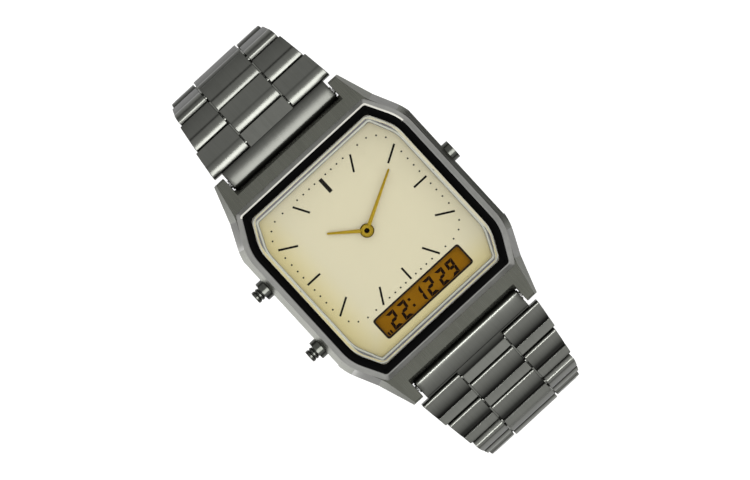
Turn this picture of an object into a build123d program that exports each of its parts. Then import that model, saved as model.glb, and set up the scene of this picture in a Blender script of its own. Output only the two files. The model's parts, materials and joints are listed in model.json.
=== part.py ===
from build123d import *
from math import asin, cos, degrees, hypot, pi, radians, sin, sqrt
import os

# An analogue and digital wristwatch on a closed steel bracelet. All lengths are in millimetres.
# Z is up and the dial faces +Z. 12 o'clock is +Y and 3 o'clock is +X. The origin is under the
# middle of the case, on the flat outer face of the clasp, on which the closed watch stands.

over = 1.0  # how far a cut runs past the face that it opens
running_gap = 0.05  # round a shaft or pin that turns or slides in its hole
layer_gap = 0.1  # between thin pieces that lie over each other

# Bracelet rows: one hinge for each row, measured along the chain from pin to pin
link_pitch = 4.3
link_nose = 1.05  # radius of the rounded front edge, round the pin; also the height over the pin
link_under = 0.9  # depth below the pin
link_nose_gap = 0.1  # between the rounded front edge and the row before it
link_valley = 0.19  # how far the crown of a row falls to the groove across it
link_strip_drop = 0.06  # how far the flat strip behind the groove lies under the crown
link_side_gap = 0.2  # between the middle and the outer columns
link_joint_drop = 0.45  # how far the joint between the columns lies under the crown
groove_width = 0.15  # the rise from the groove to the flat strip
groove_place_share = 0.62  # where the groove lies, along the part of a row that shows
middle_width = 7.5
pin_radius = 0.4
pin_cover = 0.9  # metal left outside the end of a pin
row_step = 1.25  # how far the first row stands out past the end link on each side
band_end_width = 14.0
row_taper_shares = (1, 0.76, 0.52, 0.29, 0.14, 0.05, 0, 0, 0, 0, 0, 0)
row_slopes = (16, 27, 68, 86, 91, 96, 108, 124, 142, 160, 174)  # degrees below the horizontal
end_link_gap = 0.3  # between the end link's sides and the lugs
end_link_nose = 1.2
end_link_reach = 2.95  # from the spring bar to the first pin
end_link_slope = 8  # degrees below the horizontal

# Clasp: a cover outside, with a middle blade and an inner blade folded flat under it
sheet = 0.7
blade_sheet = 0.6
sheet_gap = 0.15
wall_side_gap = 0.15
eye_radius = 0.9
clasp_pin_radius = 0.45
blade_side_gap = 0.2
blade_hinge_back = 6.0  # from the bracelet's bar in the cover to the hinge between the blades
cover_hinge_in = 3.5  # from the inner blade's pin in the bracelet to the cover's own hinge
floor_back = 2.3  # how far the cover's floor stops short of the bracelet's bar
floor_corner = 0.5
adjust_pitch = 2.4
adjust_holes = 3

# Case, seen from above; widths and lengths are half sizes, and what ends in "in" is measured
# inwards from the long side of the case, or of the outline named
case_half_width = 14.9
case_straight = 9.8
case_round = 8.0  # where the long sides turn in
corner_in = 2.2
corner_y = 14.4
lug_outer_in = 3.95
lug_inner_in = 5.55
lug_end_y = 19.45
recess_y = 16.5
ledge_length = 0.9  # step at the foot of the gap in front of the end link
opening_in = 1.7
opening_half_length = 14.0
opening_cut_in = 2.35
opening_cut_y = 9.6
opening_round = 6.3
bezel_width = 0.8
gasket_width = 0.8
dial_in = 1.75
dial_half_length = 12.0
dial_cut_in = 1.65
dial_cut_y = 8.4
dial_round = 4.5

# Case heights above the outer face of the case back
case_height = 8.0
shoulder_height = 7.05
side_top_height = 4.9
side_low_height = 2.0
back_thickness = 0.8
shoulder_inset = 0.95
bottom_inset = 0.5
seat_height = 6.3
bar_height = 2.7
bar_y = 18.2
lug_knee_y = 14.8
lug_top_height = 5.7  # at the tip, before its edge is rounded
lug_edge_round = 0.5
lug_low = 1.3
lug_bottom_y = 14.0
lug_tip_rise = 1.0  # of the slope under the tip
ledge_height = 1.5
bar_radius = 0.75
bar_tip_radius = 0.4
bar_tip_length = 0.8
bar_end_gap = 0.15

# Crystal, dial and display
crystal_height = 8.1
crystal_bevel = 0.85
crystal_bevel_height = 0.5
crystal_under = 6.5
gasket_height = 7.9
ring_slope_width = 0.5
dial_top = 5.0
dial_thickness = 0.4
dial_edge = 0.5  # how far the plate runs out under the ring
window_in = 3.85  # from the dial's long side
window_low_y = -10.9
window_high_y = -7.6
window_corner = 0.4
glass_edge = 0.6
glass_thickness = 0.9
strip_width = 0.7

# Hands and the wheels behind the dial
axis_y = 1.63
minute_angle = 62  # degrees clockwise from 12 o'clock
hour_angle = 308
minute_length = 8.6
hour_length = 5.3
hand_root_width = 0.44
hand_tip_width = 0.2
hand_thickness = 0.15
hub_radius = 0.85
hour_hand_height = 5.35
minute_hand_height = 5.75
arbor_top = 6.05
arbor_radius = 0.4
arbor_pin_radius = 0.27
pivot_radius = 0.3
pivot_low = 2.3
pivot_top = 4.3
pipe_wall = 0.15
dial_hole_gap = 0.35
motion_distance = 3.6
cannon_teeth = 12
motion_teeth = 36
motion_pinion_teeth = 10
hour_teeth = 40
cannon_height = 2.95
cannon_thickness = 0.35
hour_wheel_height = 3.5
hour_wheel_thickness = 0.3
wheel_gap = 0.15
tooth_root_share = 0.3  # half width of a tooth at its root, as a share of the tooth pitch
tooth_tip_share = 0.1
tooth_height_share = 0.9  # tooth height over the pitch circle, as a share of the module
tooth_depth_share = 1.2

# Module: frame, circuit board, cell and small parts
frame_low = 1.9
frame_in = 2.1  # from the opening's long side
frame_half_length = 12.6
frame_cut_in = 2.2
frame_cut_y = 8.2
frame_round = 4.0
board_thickness = 0.4
board_inset = 0.4
rim_inset = 0.25  # how far the case back's rim reaches in under the frame
rim_gap = 0.1
cell_start = 0.95  # from the middle of the case to the cell
cell_rim = 0.65  # what is left of the frame outside the cell
cell_low = 1.15
cell_thickness = 2.05
cell_y = 5.4
clip_thickness = 0.12
clip_width = 2.6
clip_foot = 1.0
coil_start = 1.4  # from the middle of the case to the core
coil_rim = 1.3  # what is left of the frame outside the core
coil_y = 8.6
coil_radius = 1.05
core_end = 1.4  # of the core outside each end of the winding
core_width = 1.3
core_thickness = 0.5
coil_height = 3.1
quartz_x = 3.6
quartz_y = -4.3
quartz_radius = 0.75
quartz_length = 6.0
chip_side = 3.6
chip_thickness = 0.45
chip_x = -4.6
chip_y = -3.4
pocket_gap = 0.15

# Pushers: two on the left, and one on the right that is sunk in its collar
push_height = 3.4
push_left = (5.0, -5.5)
push_right = 1.9
collar_radius = 1.375
collar_length = 0.8
collar_root = 0.3
head_radius = 0.875
head_out = 2.0  # from the side of the case to the end of a left head
sunk_head_out = 0.45
head_root_in = 0.55
head_edge = 0.15
groove_depth = 0.12
groove_length = 0.3
groove_back = 0.8  # from the outer face of a head to its groove
stem_radius = 0.45
stem_end_in = 3.0
spring_seat_in = 1.55
spring_clear = 0.1
spring_wall = 0.16
circlip_radius = 0.85
circlip_thickness = 0.25

# Case back screws and seal
screw_out = 1.05  # from the cavity's corner face
screw_radius = 0.4
screw_head_radius = 0.7
screw_head_height = 0.35
screw_length = 2.2
screw_slot = 0.2
seal_offset = 0.1
seal_width = 0.3
seal_depth = 0.3

# Places that follow from the half width of the case
corner_x = case_half_width - corner_in
lug_outer_x = case_half_width - lug_outer_in
lug_inner_x = case_half_width - lug_inner_in
opening_half_width = case_half_width - opening_in
opening_cut_x = opening_half_width - opening_cut_in
dial_half_width = opening_half_width - dial_in
dial_cut_x = dial_half_width - dial_cut_in
window_half_width = dial_half_width - window_in
frame_half_width = opening_half_width - frame_in
frame_cut_x = frame_half_width - frame_cut_in
cell_radius = (frame_half_width - cell_rim - cell_start) / 2
cell_x = cell_start + cell_radius
core_length = frame_half_width - coil_rim - coil_start
coil_length = core_length - 2 * core_end
coil_x = -coil_start - core_length / 2
head_end = case_half_width + head_out
sunk_head_end = case_half_width + sunk_head_out
head_root = case_half_width - head_root_in
spring_seat = case_half_width - spring_seat_in
stem_end = case_half_width - stem_end_in
end_link_width = 2 * (lug_inner_x - end_link_gap)
first_row_width = end_link_width + 2 * row_step
row_widths = [band_end_width + share * (first_row_width - band_end_width) for share in row_taper_shares]

# Clasp widths that follow from the bracelet's
cover_width = band_end_width + 2 * (sheet + wall_side_gap)
inner_blade_width = middle_width - 2 * blade_side_gap

os.makedirs("parts", exist_ok=True)


def keep(piece, name):
    piece.part.label = name
    export_step(piece.part, f"parts/{name}.step")


# The chain's pins on one half, from the spring bar in the lugs to the clasp
clasp_bar_z = sheet + sheet_gap + link_nose
chain = [(bar_y, 0)]
for length, slope in [(end_link_reach, end_link_slope)] + [(link_pitch, s) for s in row_slopes]:
    y, z = chain[-1]
    chain.append((y + length * cos(radians(slope)), z - length * sin(radians(slope))))
bar_z = clasp_bar_z - chain[-1][1]
pins = [(y, z + bar_z) for y, z in chain]
clasp_bar_y = pins[-1][0]
case_z = bar_z - bar_height
print(f"case back at z {case_z:.4f}, spring bars at z {bar_z:.4f}")
for y, z in pins:
    print(f"pin at y {y:.4f} z {z:.4f}")


# Planes and outlines
def level(height):
    return Plane.XY.offset(case_z + height)


def side_view(height=0):
    return Plane(origin=(0, 0, height), x_dir=(0, 1, 0), z_dir=(1, 0, 0))


def along_x(y, height, x=0):
    # A plane square to X, for round pieces that lie along X
    return Plane(origin=(x, y, height), x_dir=(0, 1, 0), z_dir=(1, 0, 0))


def octagon(half_width, half_length, cut_x, cut_y, side_round, inset=0):
    # A rectangle with its corners cut off and rounded where they leave the long sides, with
    # every side moved in by the inset
    span = hypot(half_width - cut_x, half_length - cut_y)
    nx, ny = (half_length - cut_y) / span, (half_width - cut_x) / span
    face = nx * cut_x + ny * half_length - inset
    w, h = half_width - inset, half_length - inset
    x, y = (face - ny * h) / nx, (face - nx * w) / ny
    with BuildSketch() as outline:
        with BuildLine():
            Polyline((w, -y), (w, y), (x, h), (-x, h), (-w, y), (-w, -y), (-x, -h), (x, -h), close=True)
        make_face()
        round_sides(outline, side_round - inset)
    return outline.sketch


def round_sides(outline, radius):
    columns = outline.vertices().group_by(Axis.X)
    fillet(columns[0] + columns[-1], radius)


opening = (opening_half_width, opening_half_length, opening_cut_x, opening_cut_y, opening_round)
dial_window = (dial_half_width, dial_half_length, dial_cut_x, dial_cut_y, dial_round)
frame_size = (frame_half_width, frame_half_length, frame_cut_x, frame_cut_y, frame_round)
case_size = (case_half_width, corner_y, corner_x, case_straight, case_round)


def case_outline(inset):
    # The case and its lugs from above, before the gap between the lugs is cut
    far = lug_end_y + over
    far_x = corner_x + (lug_outer_x - corner_x) * (far - corner_y) / (lug_end_y - corner_y)
    corners = [(case_half_width, case_straight), (corner_x, corner_y), (far_x, far)]
    right = [(x, -y) for x, y in reversed(corners)] + corners
    with BuildSketch() as outline:
        with BuildLine():
            Polyline(right + [(-x, -y) for x, y in right], close=True)
        make_face()
        offset(amount=-inset, kind=Kind.INTERSECTION)
        round_sides(outline, case_round - inset)
    return outline.sketch


# Case
frame_top = dial_top - dial_thickness
collar_bore = head_radius + running_gap
push_z = case_z + push_height
push_places = [(-1, push_left[0], head_end), (-1, push_left[1], head_end), (1, push_right, sunk_head_end)]
facet = (opening_half_width - opening_cut_x, opening_half_length - opening_cut_y)
facet_normal = (facet[1] / hypot(*facet), facet[0] / hypot(*facet))
screw_shift = screw_out - gasket_width
screw_x = (opening_half_width + opening_cut_x) / 2 + facet_normal[0] * screw_shift
screw_y = (opening_half_length + opening_cut_y) / 2 + facet_normal[1] * screw_shift
screw_places = [(i * screw_x, j * screw_y) for i in (-1, 1) for j in (-1, 1)]

with BuildSketch(side_view(case_z)) as case_side:
    with BuildLine():
        Polyline(
            (0, back_thickness), (lug_bottom_y, back_thickness), (bar_y, lug_low),
            (lug_end_y, lug_low + lug_tip_rise), (lug_end_y, lug_top_height), (lug_knee_y, shoulder_height),
            (0, shoulder_height),
        )
        mirror(about=Plane.YZ)
    make_face()
    for end in (0, -1):
        fillet(case_side.vertices().group_by(Axis.X)[end].sort_by(Axis.Y)[-1], lug_edge_round)

with BuildPart() as case_middle:
    for height, inset in (
        (back_thickness, bottom_inset), (side_low_height, 0), (side_top_height, 0),
        (shoulder_height, shoulder_inset),
    ):
        with BuildSketch(level(height)):
            add(case_outline(inset))
    loft(ruled=True)
    extrude(to_extrude=case_side.sketch, amount=case_half_width + over, both=True, mode=Mode.INTERSECT)
    with BuildSketch(level(shoulder_height)):
        add(octagon(*opening, -bezel_width))
    with BuildSketch(level(case_height)):
        add(octagon(*opening))
    loft(ruled=True)
    with BuildSketch(level(seat_height)):
        add(octagon(*opening))
    extrude(amount=case_height, mode=Mode.SUBTRACT)
    with BuildSketch(level(0)):
        add(octagon(*opening, gasket_width))
    extrude(amount=case_height, mode=Mode.SUBTRACT)
    with BuildSketch(level(back_thickness)):
        add(octagon(*opening, gasket_width - seal_offset - seal_width))
        add(octagon(*opening, gasket_width - seal_offset), mode=Mode.SUBTRACT)
    extrude(amount=seal_depth, mode=Mode.SUBTRACT)
    for low, start in ((0, recess_y + ledge_length), (ledge_height, recess_y)):
        with BuildSketch(level(low)):
            for side in (-1, 1):
                with Locations((0, side * (start + lug_end_y) / 2)):
                    Rectangle(2 * lug_inner_x, lug_end_y - start)
        extrude(amount=case_height, mode=Mode.SUBTRACT)
    for side in (-1, 1):
        with BuildSketch(along_x(side * bar_y, bar_z)):
            Circle(bar_tip_radius + running_gap)
        extrude(amount=lug_inner_x + bar_tip_length, both=True, mode=Mode.SUBTRACT)
    for side, y, end in push_places:
        for reach, radius in (
            (0, stem_radius + running_gap), (spring_seat, collar_bore),
            (case_half_width - collar_root, collar_radius),
        ):
            with BuildSketch(Plane(origin=(side * reach, y, push_z), x_dir=(0, 1, 0), z_dir=(side, 0, 0))):
                Circle(radius)
            extrude(amount=head_end, mode=Mode.SUBTRACT)
    with BuildSketch(level(0)):
        with Locations(*screw_places):
            Circle(screw_radius)
    extrude(amount=screw_length, mode=Mode.SUBTRACT)
keep(case_middle, "case_middle")

with BuildPart() as case_back:
    with BuildSketch(level(0)):
        add(octagon(*case_size, bottom_inset + layer_gap))
    extrude(amount=back_thickness)
    with BuildSketch(level(back_thickness)):
        add(octagon(*opening, gasket_width + rim_gap))
        add(octagon(*frame_size, rim_inset), mode=Mode.SUBTRACT)
    extrude(amount=frame_low - back_thickness)
    with BuildSketch(level(0)):
        with Locations(*screw_places):
            Circle(screw_head_radius + running_gap)
    extrude(amount=screw_head_height, mode=Mode.SUBTRACT)
    with BuildSketch(level(0)):
        with Locations(*screw_places):
            Circle(screw_radius + running_gap)
    extrude(amount=back_thickness, mode=Mode.SUBTRACT)
keep(case_back, "case_back")

with BuildPart() as case_back_screws:
    with BuildSketch(level(0)):
        with Locations(*screw_places):
            Circle(screw_head_radius)
    extrude(amount=screw_head_height)
    with BuildSketch(level(screw_head_height)):
        with Locations(*screw_places):
            Circle(screw_radius)
    extrude(amount=screw_length - screw_head_height)
    with BuildSketch(level(0)):
        with Locations(*screw_places):
            Rectangle(screw_slot, 2 * screw_head_radius)
            Rectangle(2 * screw_head_radius, screw_slot)
    extrude(amount=screw_slot, mode=Mode.SUBTRACT)
keep(case_back_screws, "case_back_screws")

with BuildPart() as case_back_seal:
    with BuildSketch(level(back_thickness)):
        add(octagon(*opening, gasket_width - seal_offset - seal_width))
        add(octagon(*opening, gasket_width - seal_offset), mode=Mode.SUBTRACT)
    extrude(amount=seal_depth)
keep(case_back_seal, "case_back_seal")

with BuildPart() as crystal_gasket:
    with BuildSketch(level(seat_height)):
        add(octagon(*opening))
        add(octagon(*opening, gasket_width), mode=Mode.SUBTRACT)
    extrude(amount=gasket_height - seat_height)
keep(crystal_gasket, "crystal_gasket")

with BuildPart() as crystal:
    with BuildSketch(level(crystal_under)):
        add(octagon(*opening, gasket_width))
    extrude(amount=crystal_height - crystal_bevel_height - crystal_under)
    with BuildSketch(level(crystal_height - crystal_bevel_height)):
        add(octagon(*opening, gasket_width))
    with BuildSketch(level(crystal_height)):
        add(octagon(*opening, gasket_width + crystal_bevel))
    loft(ruled=True)
keep(crystal, "crystal")

# Dial, its ring and the display under its window
with BuildPart() as dial_ring:
    with BuildSketch(level(dial_top)):
        add(octagon(*opening, gasket_width + running_gap))
    extrude(amount=crystal_under - dial_top)
    with BuildSketch(level(dial_top)):
        add(octagon(*dial_window))
    with BuildSketch(level(crystal_under)):
        add(octagon(*dial_window, -ring_slope_width))
    loft(ruled=True, mode=Mode.SUBTRACT)
keep(dial_ring, "dial_ring")

window_y = (window_low_y + window_high_y) / 2
window_height = window_high_y - window_low_y
pipe_bore = arbor_radius + running_gap
pipe_radius = pipe_bore + pipe_wall
with BuildPart() as dial_plate:
    with BuildSketch(level(frame_top)):
        add(octagon(*dial_window, -dial_edge))
        with Locations((0, axis_y)):
            Circle(pipe_radius + dial_hole_gap, mode=Mode.SUBTRACT)
        with Locations((0, window_y)):
            RectangleRounded(2 * window_half_width, window_height, window_corner, mode=Mode.SUBTRACT)
    extrude(amount=dial_thickness)
keep(dial_plate, "dial_plate")

glass_width = 2 * (window_half_width + glass_edge)
glass_height = window_height + 2 * glass_edge
glass_low = frame_top - glass_thickness
strip_y = (glass_height - strip_width) / 2
with BuildPart() as display_glass:
    with BuildSketch(level(glass_low)):
        with Locations((0, window_y)):
            Rectangle(glass_width, glass_height)
    extrude(amount=glass_thickness)
keep(display_glass, "display_glass")

with BuildPart() as connector_strips:
    with BuildSketch(level(frame_low)):
        with Locations((0, window_y - strip_y), (0, window_y + strip_y)):
            Rectangle(glass_width, strip_width)
    extrude(amount=glass_low - frame_low)
keep(connector_strips, "connector_strips")

# Wheels
minute_module = 2 * motion_distance / (cannon_teeth + motion_teeth)
hour_module = 2 * motion_distance / (motion_pinion_teeth + hour_teeth)


def tip_radius(teeth, module):
    return module * (teeth / 2 + tooth_height_share)


def wheel_outline(teeth, module, turn):
    root = module * (teeth / 2 - tooth_depth_share)
    tip = tip_radius(teeth, module)
    shape = ((root, -tooth_root_share), (tip, -tooth_tip_share), (tip, tooth_tip_share), (root, tooth_root_share))
    corners = []
    for tooth in range(teeth):
        for radius, share in shape:
            angle = radians(turn) + 2 * pi * (tooth + share) / teeth
            corners.append((radius * cos(angle), radius * sin(angle)))
    with BuildSketch() as outline:
        with BuildLine():
            Polyline(corners, close=True)
        make_face()
    return outline.sketch


def hand_outline(length, angle):
    with BuildSketch() as outline:
        with BuildLine():
            Polyline(
                (-hand_root_width / 2, 0), (hand_root_width / 2, 0), (hand_tip_width / 2, length),
                (-hand_tip_width / 2, length), close=True,
            )
        make_face()
        Circle(hub_radius)
    return outline.sketch.rotate(Axis.Z, -angle)


motion_top = cannon_height + cannon_thickness
pinion_top = hour_wheel_height + hour_wheel_thickness + running_gap
with BuildPart() as minute_arbor:
    with BuildSketch(level(cannon_height)):
        with Locations((0, axis_y)):
            add(wheel_outline(cannon_teeth, minute_module, 0))
    extrude(amount=cannon_thickness)
    for low, high, radius in (
        (pivot_low, cannon_height, pivot_radius), (motion_top, minute_hand_height, arbor_radius),
        (minute_hand_height, arbor_top, arbor_pin_radius),
    ):
        with BuildSketch(level(low)):
            with Locations((0, axis_y)):
                Circle(radius)
        extrude(amount=high - low)
keep(minute_arbor, "minute_arbor")

with BuildPart() as motion_wheel:
    with BuildSketch(level(cannon_height)):
        with Locations((-motion_distance, axis_y)):
            add(wheel_outline(motion_teeth, minute_module, 180 / motion_teeth))
    extrude(amount=cannon_thickness)
    with BuildSketch(level(motion_top)):
        with Locations((-motion_distance, axis_y)):
            add(wheel_outline(motion_pinion_teeth, hour_module, 0))
    extrude(amount=pinion_top - motion_top)
    for low, high in ((pivot_low, cannon_height), (pinion_top, pivot_top)):
        with BuildSketch(level(low)):
            with Locations((-motion_distance, axis_y)):
                Circle(pivot_radius)
        extrude(amount=high - low)
keep(motion_wheel, "motion_wheel")

with BuildPart() as hour_wheel:
    with BuildSketch(level(hour_wheel_height)):
        with Locations((0, axis_y)):
            add(wheel_outline(hour_teeth, hour_module, 180 / hour_teeth))
    extrude(amount=hour_wheel_thickness)
    with BuildSketch(level(hour_wheel_height)):
        with Locations((0, axis_y)):
            Circle(pipe_radius)
    extrude(amount=hour_hand_height + hand_thickness - hour_wheel_height)
    with BuildSketch(level(hour_wheel_height)):
        with Locations((0, axis_y)):
            Circle(pipe_bore)
    extrude(amount=case_height, mode=Mode.SUBTRACT)
keep(hour_wheel, "hour_wheel")

for name, height, length, angle, bore in (
    ("hour_hand", hour_hand_height, hour_length, hour_angle, pipe_radius),
    ("minute_hand", minute_hand_height, minute_length, minute_angle, arbor_pin_radius),
):
    with BuildPart() as hand:
        with BuildSketch(level(height)):
            with Locations((0, axis_y)):
                add(hand_outline(length, angle))
                Circle(bore, mode=Mode.SUBTRACT)
        extrude(amount=hand_thickness)
    keep(hand, name)

# Module
clip_low = cell_low - clip_thickness
board_low = frame_low - board_thickness
with BuildPart() as module_frame:
    with BuildSketch(level(frame_low)):
        add(octagon(*frame_size))
    extrude(amount=frame_top - frame_low)
    for x, low, radius in (
        (0, hour_wheel_height - layer_gap, tip_radius(hour_teeth, hour_module) + wheel_gap),
        (0, cannon_height - layer_gap, tip_radius(cannon_teeth, minute_module) + wheel_gap),
        (-motion_distance, cannon_height - layer_gap, tip_radius(motion_teeth, minute_module) + wheel_gap),
        (0, pivot_low - layer_gap, pivot_radius + running_gap),
        (-motion_distance, pivot_low - layer_gap, pivot_radius + running_gap),
    ):
        with BuildSketch(level(low)):
            with Locations((x, axis_y)):
                Circle(radius)
        extrude(amount=case_height, mode=Mode.SUBTRACT)
    with BuildSketch(level(0)):
        with Locations((cell_x, cell_y)):
            Circle(cell_radius + layer_gap)
    extrude(amount=cell_low + cell_thickness, mode=Mode.SUBTRACT)
    with BuildSketch(level(glass_low)):
        with Locations((0, window_y)):
            Rectangle(glass_width + 2 * layer_gap, glass_height + 2 * layer_gap)
    extrude(amount=case_height, mode=Mode.SUBTRACT)
    with BuildSketch(level(0)):
        with Locations((0, window_y - strip_y), (0, window_y + strip_y)):
            Rectangle(glass_width + 2 * layer_gap, strip_width + 2 * layer_gap)
    extrude(amount=case_height, mode=Mode.SUBTRACT)
    with BuildSketch(level(0)):
        with Locations((coil_x, coil_y)):
            Rectangle(core_length + 2 * pocket_gap, 2 * (coil_radius + pocket_gap))
        with Locations((quartz_x, quartz_y)):
            Rectangle(quartz_length + 2 * pocket_gap, 2 * (quartz_radius + pocket_gap))
    extrude(amount=coil_height + coil_radius + pocket_gap, mode=Mode.SUBTRACT)
    with BuildSketch(level(0)):
        with Locations((chip_x, chip_y)):
            Rectangle(chip_side + 2 * pocket_gap, chip_side + 2 * pocket_gap)
    extrude(amount=frame_low + chip_thickness + pocket_gap, mode=Mode.SUBTRACT)
keep(module_frame, "module_frame")

with BuildPart() as circuit_board:
    with BuildSketch(level(board_low)):
        add(octagon(*frame_size, board_inset))
        with Locations((cell_x, cell_y)):
            Circle(cell_radius + layer_gap, mode=Mode.SUBTRACT)
    extrude(amount=board_thickness)
keep(circuit_board, "circuit_board")

with BuildPart() as cell:
    with BuildSketch(level(cell_low)):
        with Locations((cell_x, cell_y)):
            Circle(cell_radius)
    extrude(amount=cell_thickness)
keep(cell, "cell")

clip_x = cell_x - cell_radius - layer_gap - clip_foot / 2
with BuildPart() as cell_clip:
    with BuildSketch(level(clip_low)):
        with Locations((clip_x - clip_foot / 2, cell_y)):
            Rectangle(cell_radius + layer_gap + clip_foot, clip_width, align=(Align.MIN, Align.CENTER))
    extrude(amount=clip_thickness)
    with BuildSketch(level(clip_low + clip_thickness)):
        with Locations((clip_x, cell_y)):
            Rectangle(clip_foot, clip_width)
    extrude(amount=board_low - clip_low - clip_thickness)
keep(cell_clip, "cell_clip")

with BuildPart() as motor_coil:
    with BuildSketch(along_x(coil_y, case_z + coil_height, coil_x)):
        Circle(coil_radius)
    extrude(amount=coil_length / 2, both=True)
    with BuildSketch(level(coil_height - core_thickness / 2)):
        with Locations((coil_x, coil_y)):
            Rectangle(core_length, core_width)
    extrude(amount=core_thickness)
    with BuildSketch(level(frame_low)):
        for side in (-1, 1):
            with Locations((coil_x + side * (core_length + coil_length) / 4, coil_y)):
                Rectangle((core_length - coil_length) / 2, core_width)
    extrude(amount=coil_height - frame_low)
keep(motor_coil, "motor_coil")

with BuildPart() as quartz_can:
    with BuildSketch(along_x(quartz_y, case_z + frame_low + quartz_radius, quartz_x)):
        Circle(quartz_radius)
    extrude(amount=quartz_length / 2, both=True)
keep(quartz_can, "quartz_can")

with BuildPart() as driver_chip:
    with BuildSketch(level(frame_low)):
        with Locations((chip_x, chip_y)):
            Rectangle(chip_side, chip_side)
    extrude(amount=chip_thickness)
keep(driver_chip, "driver_chip")

# Pushers, their collars and springs
with BuildPart() as pusher_collars:
    for side, y, end in push_places:
        base = side * (case_half_width - collar_root)
        with BuildSketch(Plane(origin=(base, y, push_z), x_dir=(0, 1, 0), z_dir=(side, 0, 0))):
            Circle(collar_radius)
            Circle(collar_bore, mode=Mode.SUBTRACT)
        extrude(amount=collar_root + collar_length)
keep(pusher_collars, "pusher_collars")

push_names = ("upper_left", "lower_left", "right")
for name, (side, y, end) in zip(push_names, push_places):
    groove = end - groove_back
    with BuildPart() as pusher:
        with BuildSketch(Plane(origin=(0, y, push_z), x_dir=(side, 0, 0), z_dir=(0, -1, 0))):
            with BuildLine():
                Polyline(
                    (stem_end, 0), (stem_end, stem_radius), (head_root, stem_radius),
                    (head_root, head_radius), (groove - groove_length, head_radius),
                    (groove - groove_length / 2, head_radius - groove_depth), (groove, head_radius),
                    (end - head_edge, head_radius), (end, head_radius - head_edge), (end, 0), close=True,
                )
            make_face()
        revolve(axis=Axis((0, y, push_z), (1, 0, 0)))
        with BuildSketch(Plane(origin=(side * stem_end, y, push_z), x_dir=(0, 1, 0), z_dir=(side, 0, 0))):
            Circle(circlip_radius)
        extrude(amount=circlip_thickness)
    keep(pusher, f"pusher_{name}")
    with BuildPart() as spring:
        base = side * spring_seat
        with BuildSketch(Plane(origin=(base, y, push_z), x_dir=(0, 1, 0), z_dir=(side, 0, 0))):
            Circle(stem_radius + spring_clear + spring_wall)
            Circle(stem_radius + spring_clear, mode=Mode.SUBTRACT)
        extrude(amount=head_root - spring_seat)
    keep(spring, f"pusher_spring_{name}")

with BuildPart() as spring_bars:
    for side in (-1, 1):
        for radius, half in (
            (bar_radius, lug_inner_x - bar_end_gap), (bar_tip_radius, lug_inner_x + bar_tip_length - bar_end_gap),
        ):
            with BuildSketch(along_x(side * bar_y, bar_z)):
                Circle(radius)
            extrude(amount=half, both=True)
keep(spring_bars, "spring_bars")


# Bracelet
link_flat = sqrt(link_nose**2 - link_under**2)
link_low_angle = degrees(asin(link_under / link_nose))
strip_height = link_nose - link_strip_drop
outer_start = middle_width / 2 + link_side_gap
row_front = link_nose + link_nose_gap  # from a pin to the edge that faces the nose round it


def link_plane(side, pin, slope, x=0):
    # Along the chain and then outwards, seen square to X; side is 1 at 12 o'clock and -1 at 6
    along = (0, side * cos(radians(slope)), -sin(radians(slope)))
    return Plane(origin=(x, side * pin[0], pin[1]), x_dir=along, z_dir=(side, 0, 0))


def column_view(front, back, nosed_front, nosed_back):
    # Side view of one column of a row. A nosed end is round about the pin inside it, and any
    # other front edge is rounded over on top alone.
    start = front + link_nose
    knee = min(front + groove_place_share * link_pitch, back - 2 * groove_width)
    with BuildSketch() as view:
        with BuildLine():
            if nosed_front:
                CenterArc((start, 0), link_nose, 90, 90 + link_low_angle)
                foot = (start - link_flat, -link_under)
            else:
                CenterArc((start, 0), link_nose, 90, 90)
                foot = (front, -link_under)
                Line((front, 0), foot)
            TangentArc((start, link_nose), (knee, link_nose - link_valley), tangent=(1, 0))
            Polyline((knee, link_nose - link_valley), (knee + groove_width, strip_height), (back, strip_height))
            if nosed_back:
                Line((back, strip_height), (back, 0))
                CenterArc((back - link_nose, 0), link_nose, 0, -link_low_angle)
                Line((back - link_nose + link_flat, -link_under), foot)
            else:
                Polyline((back, strip_height), (back, -link_under), foot)
        make_face()
    return view.sketch


def taper(plane, front, back, front_width, back_width):
    # What a row fills when seen from above, narrower towards the clasp
    top = Plane(origin=plane.origin, x_dir=plane.x_dir, z_dir=plane.y_dir)
    with BuildSketch(top) as outline:
        with BuildLine():
            Polyline(
                (front, -front_width / 2), (back, -back_width / 2), (back, back_width / 2),
                (front, front_width / 2), close=True,
            )
        make_face()
    return outline.sketch


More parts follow.
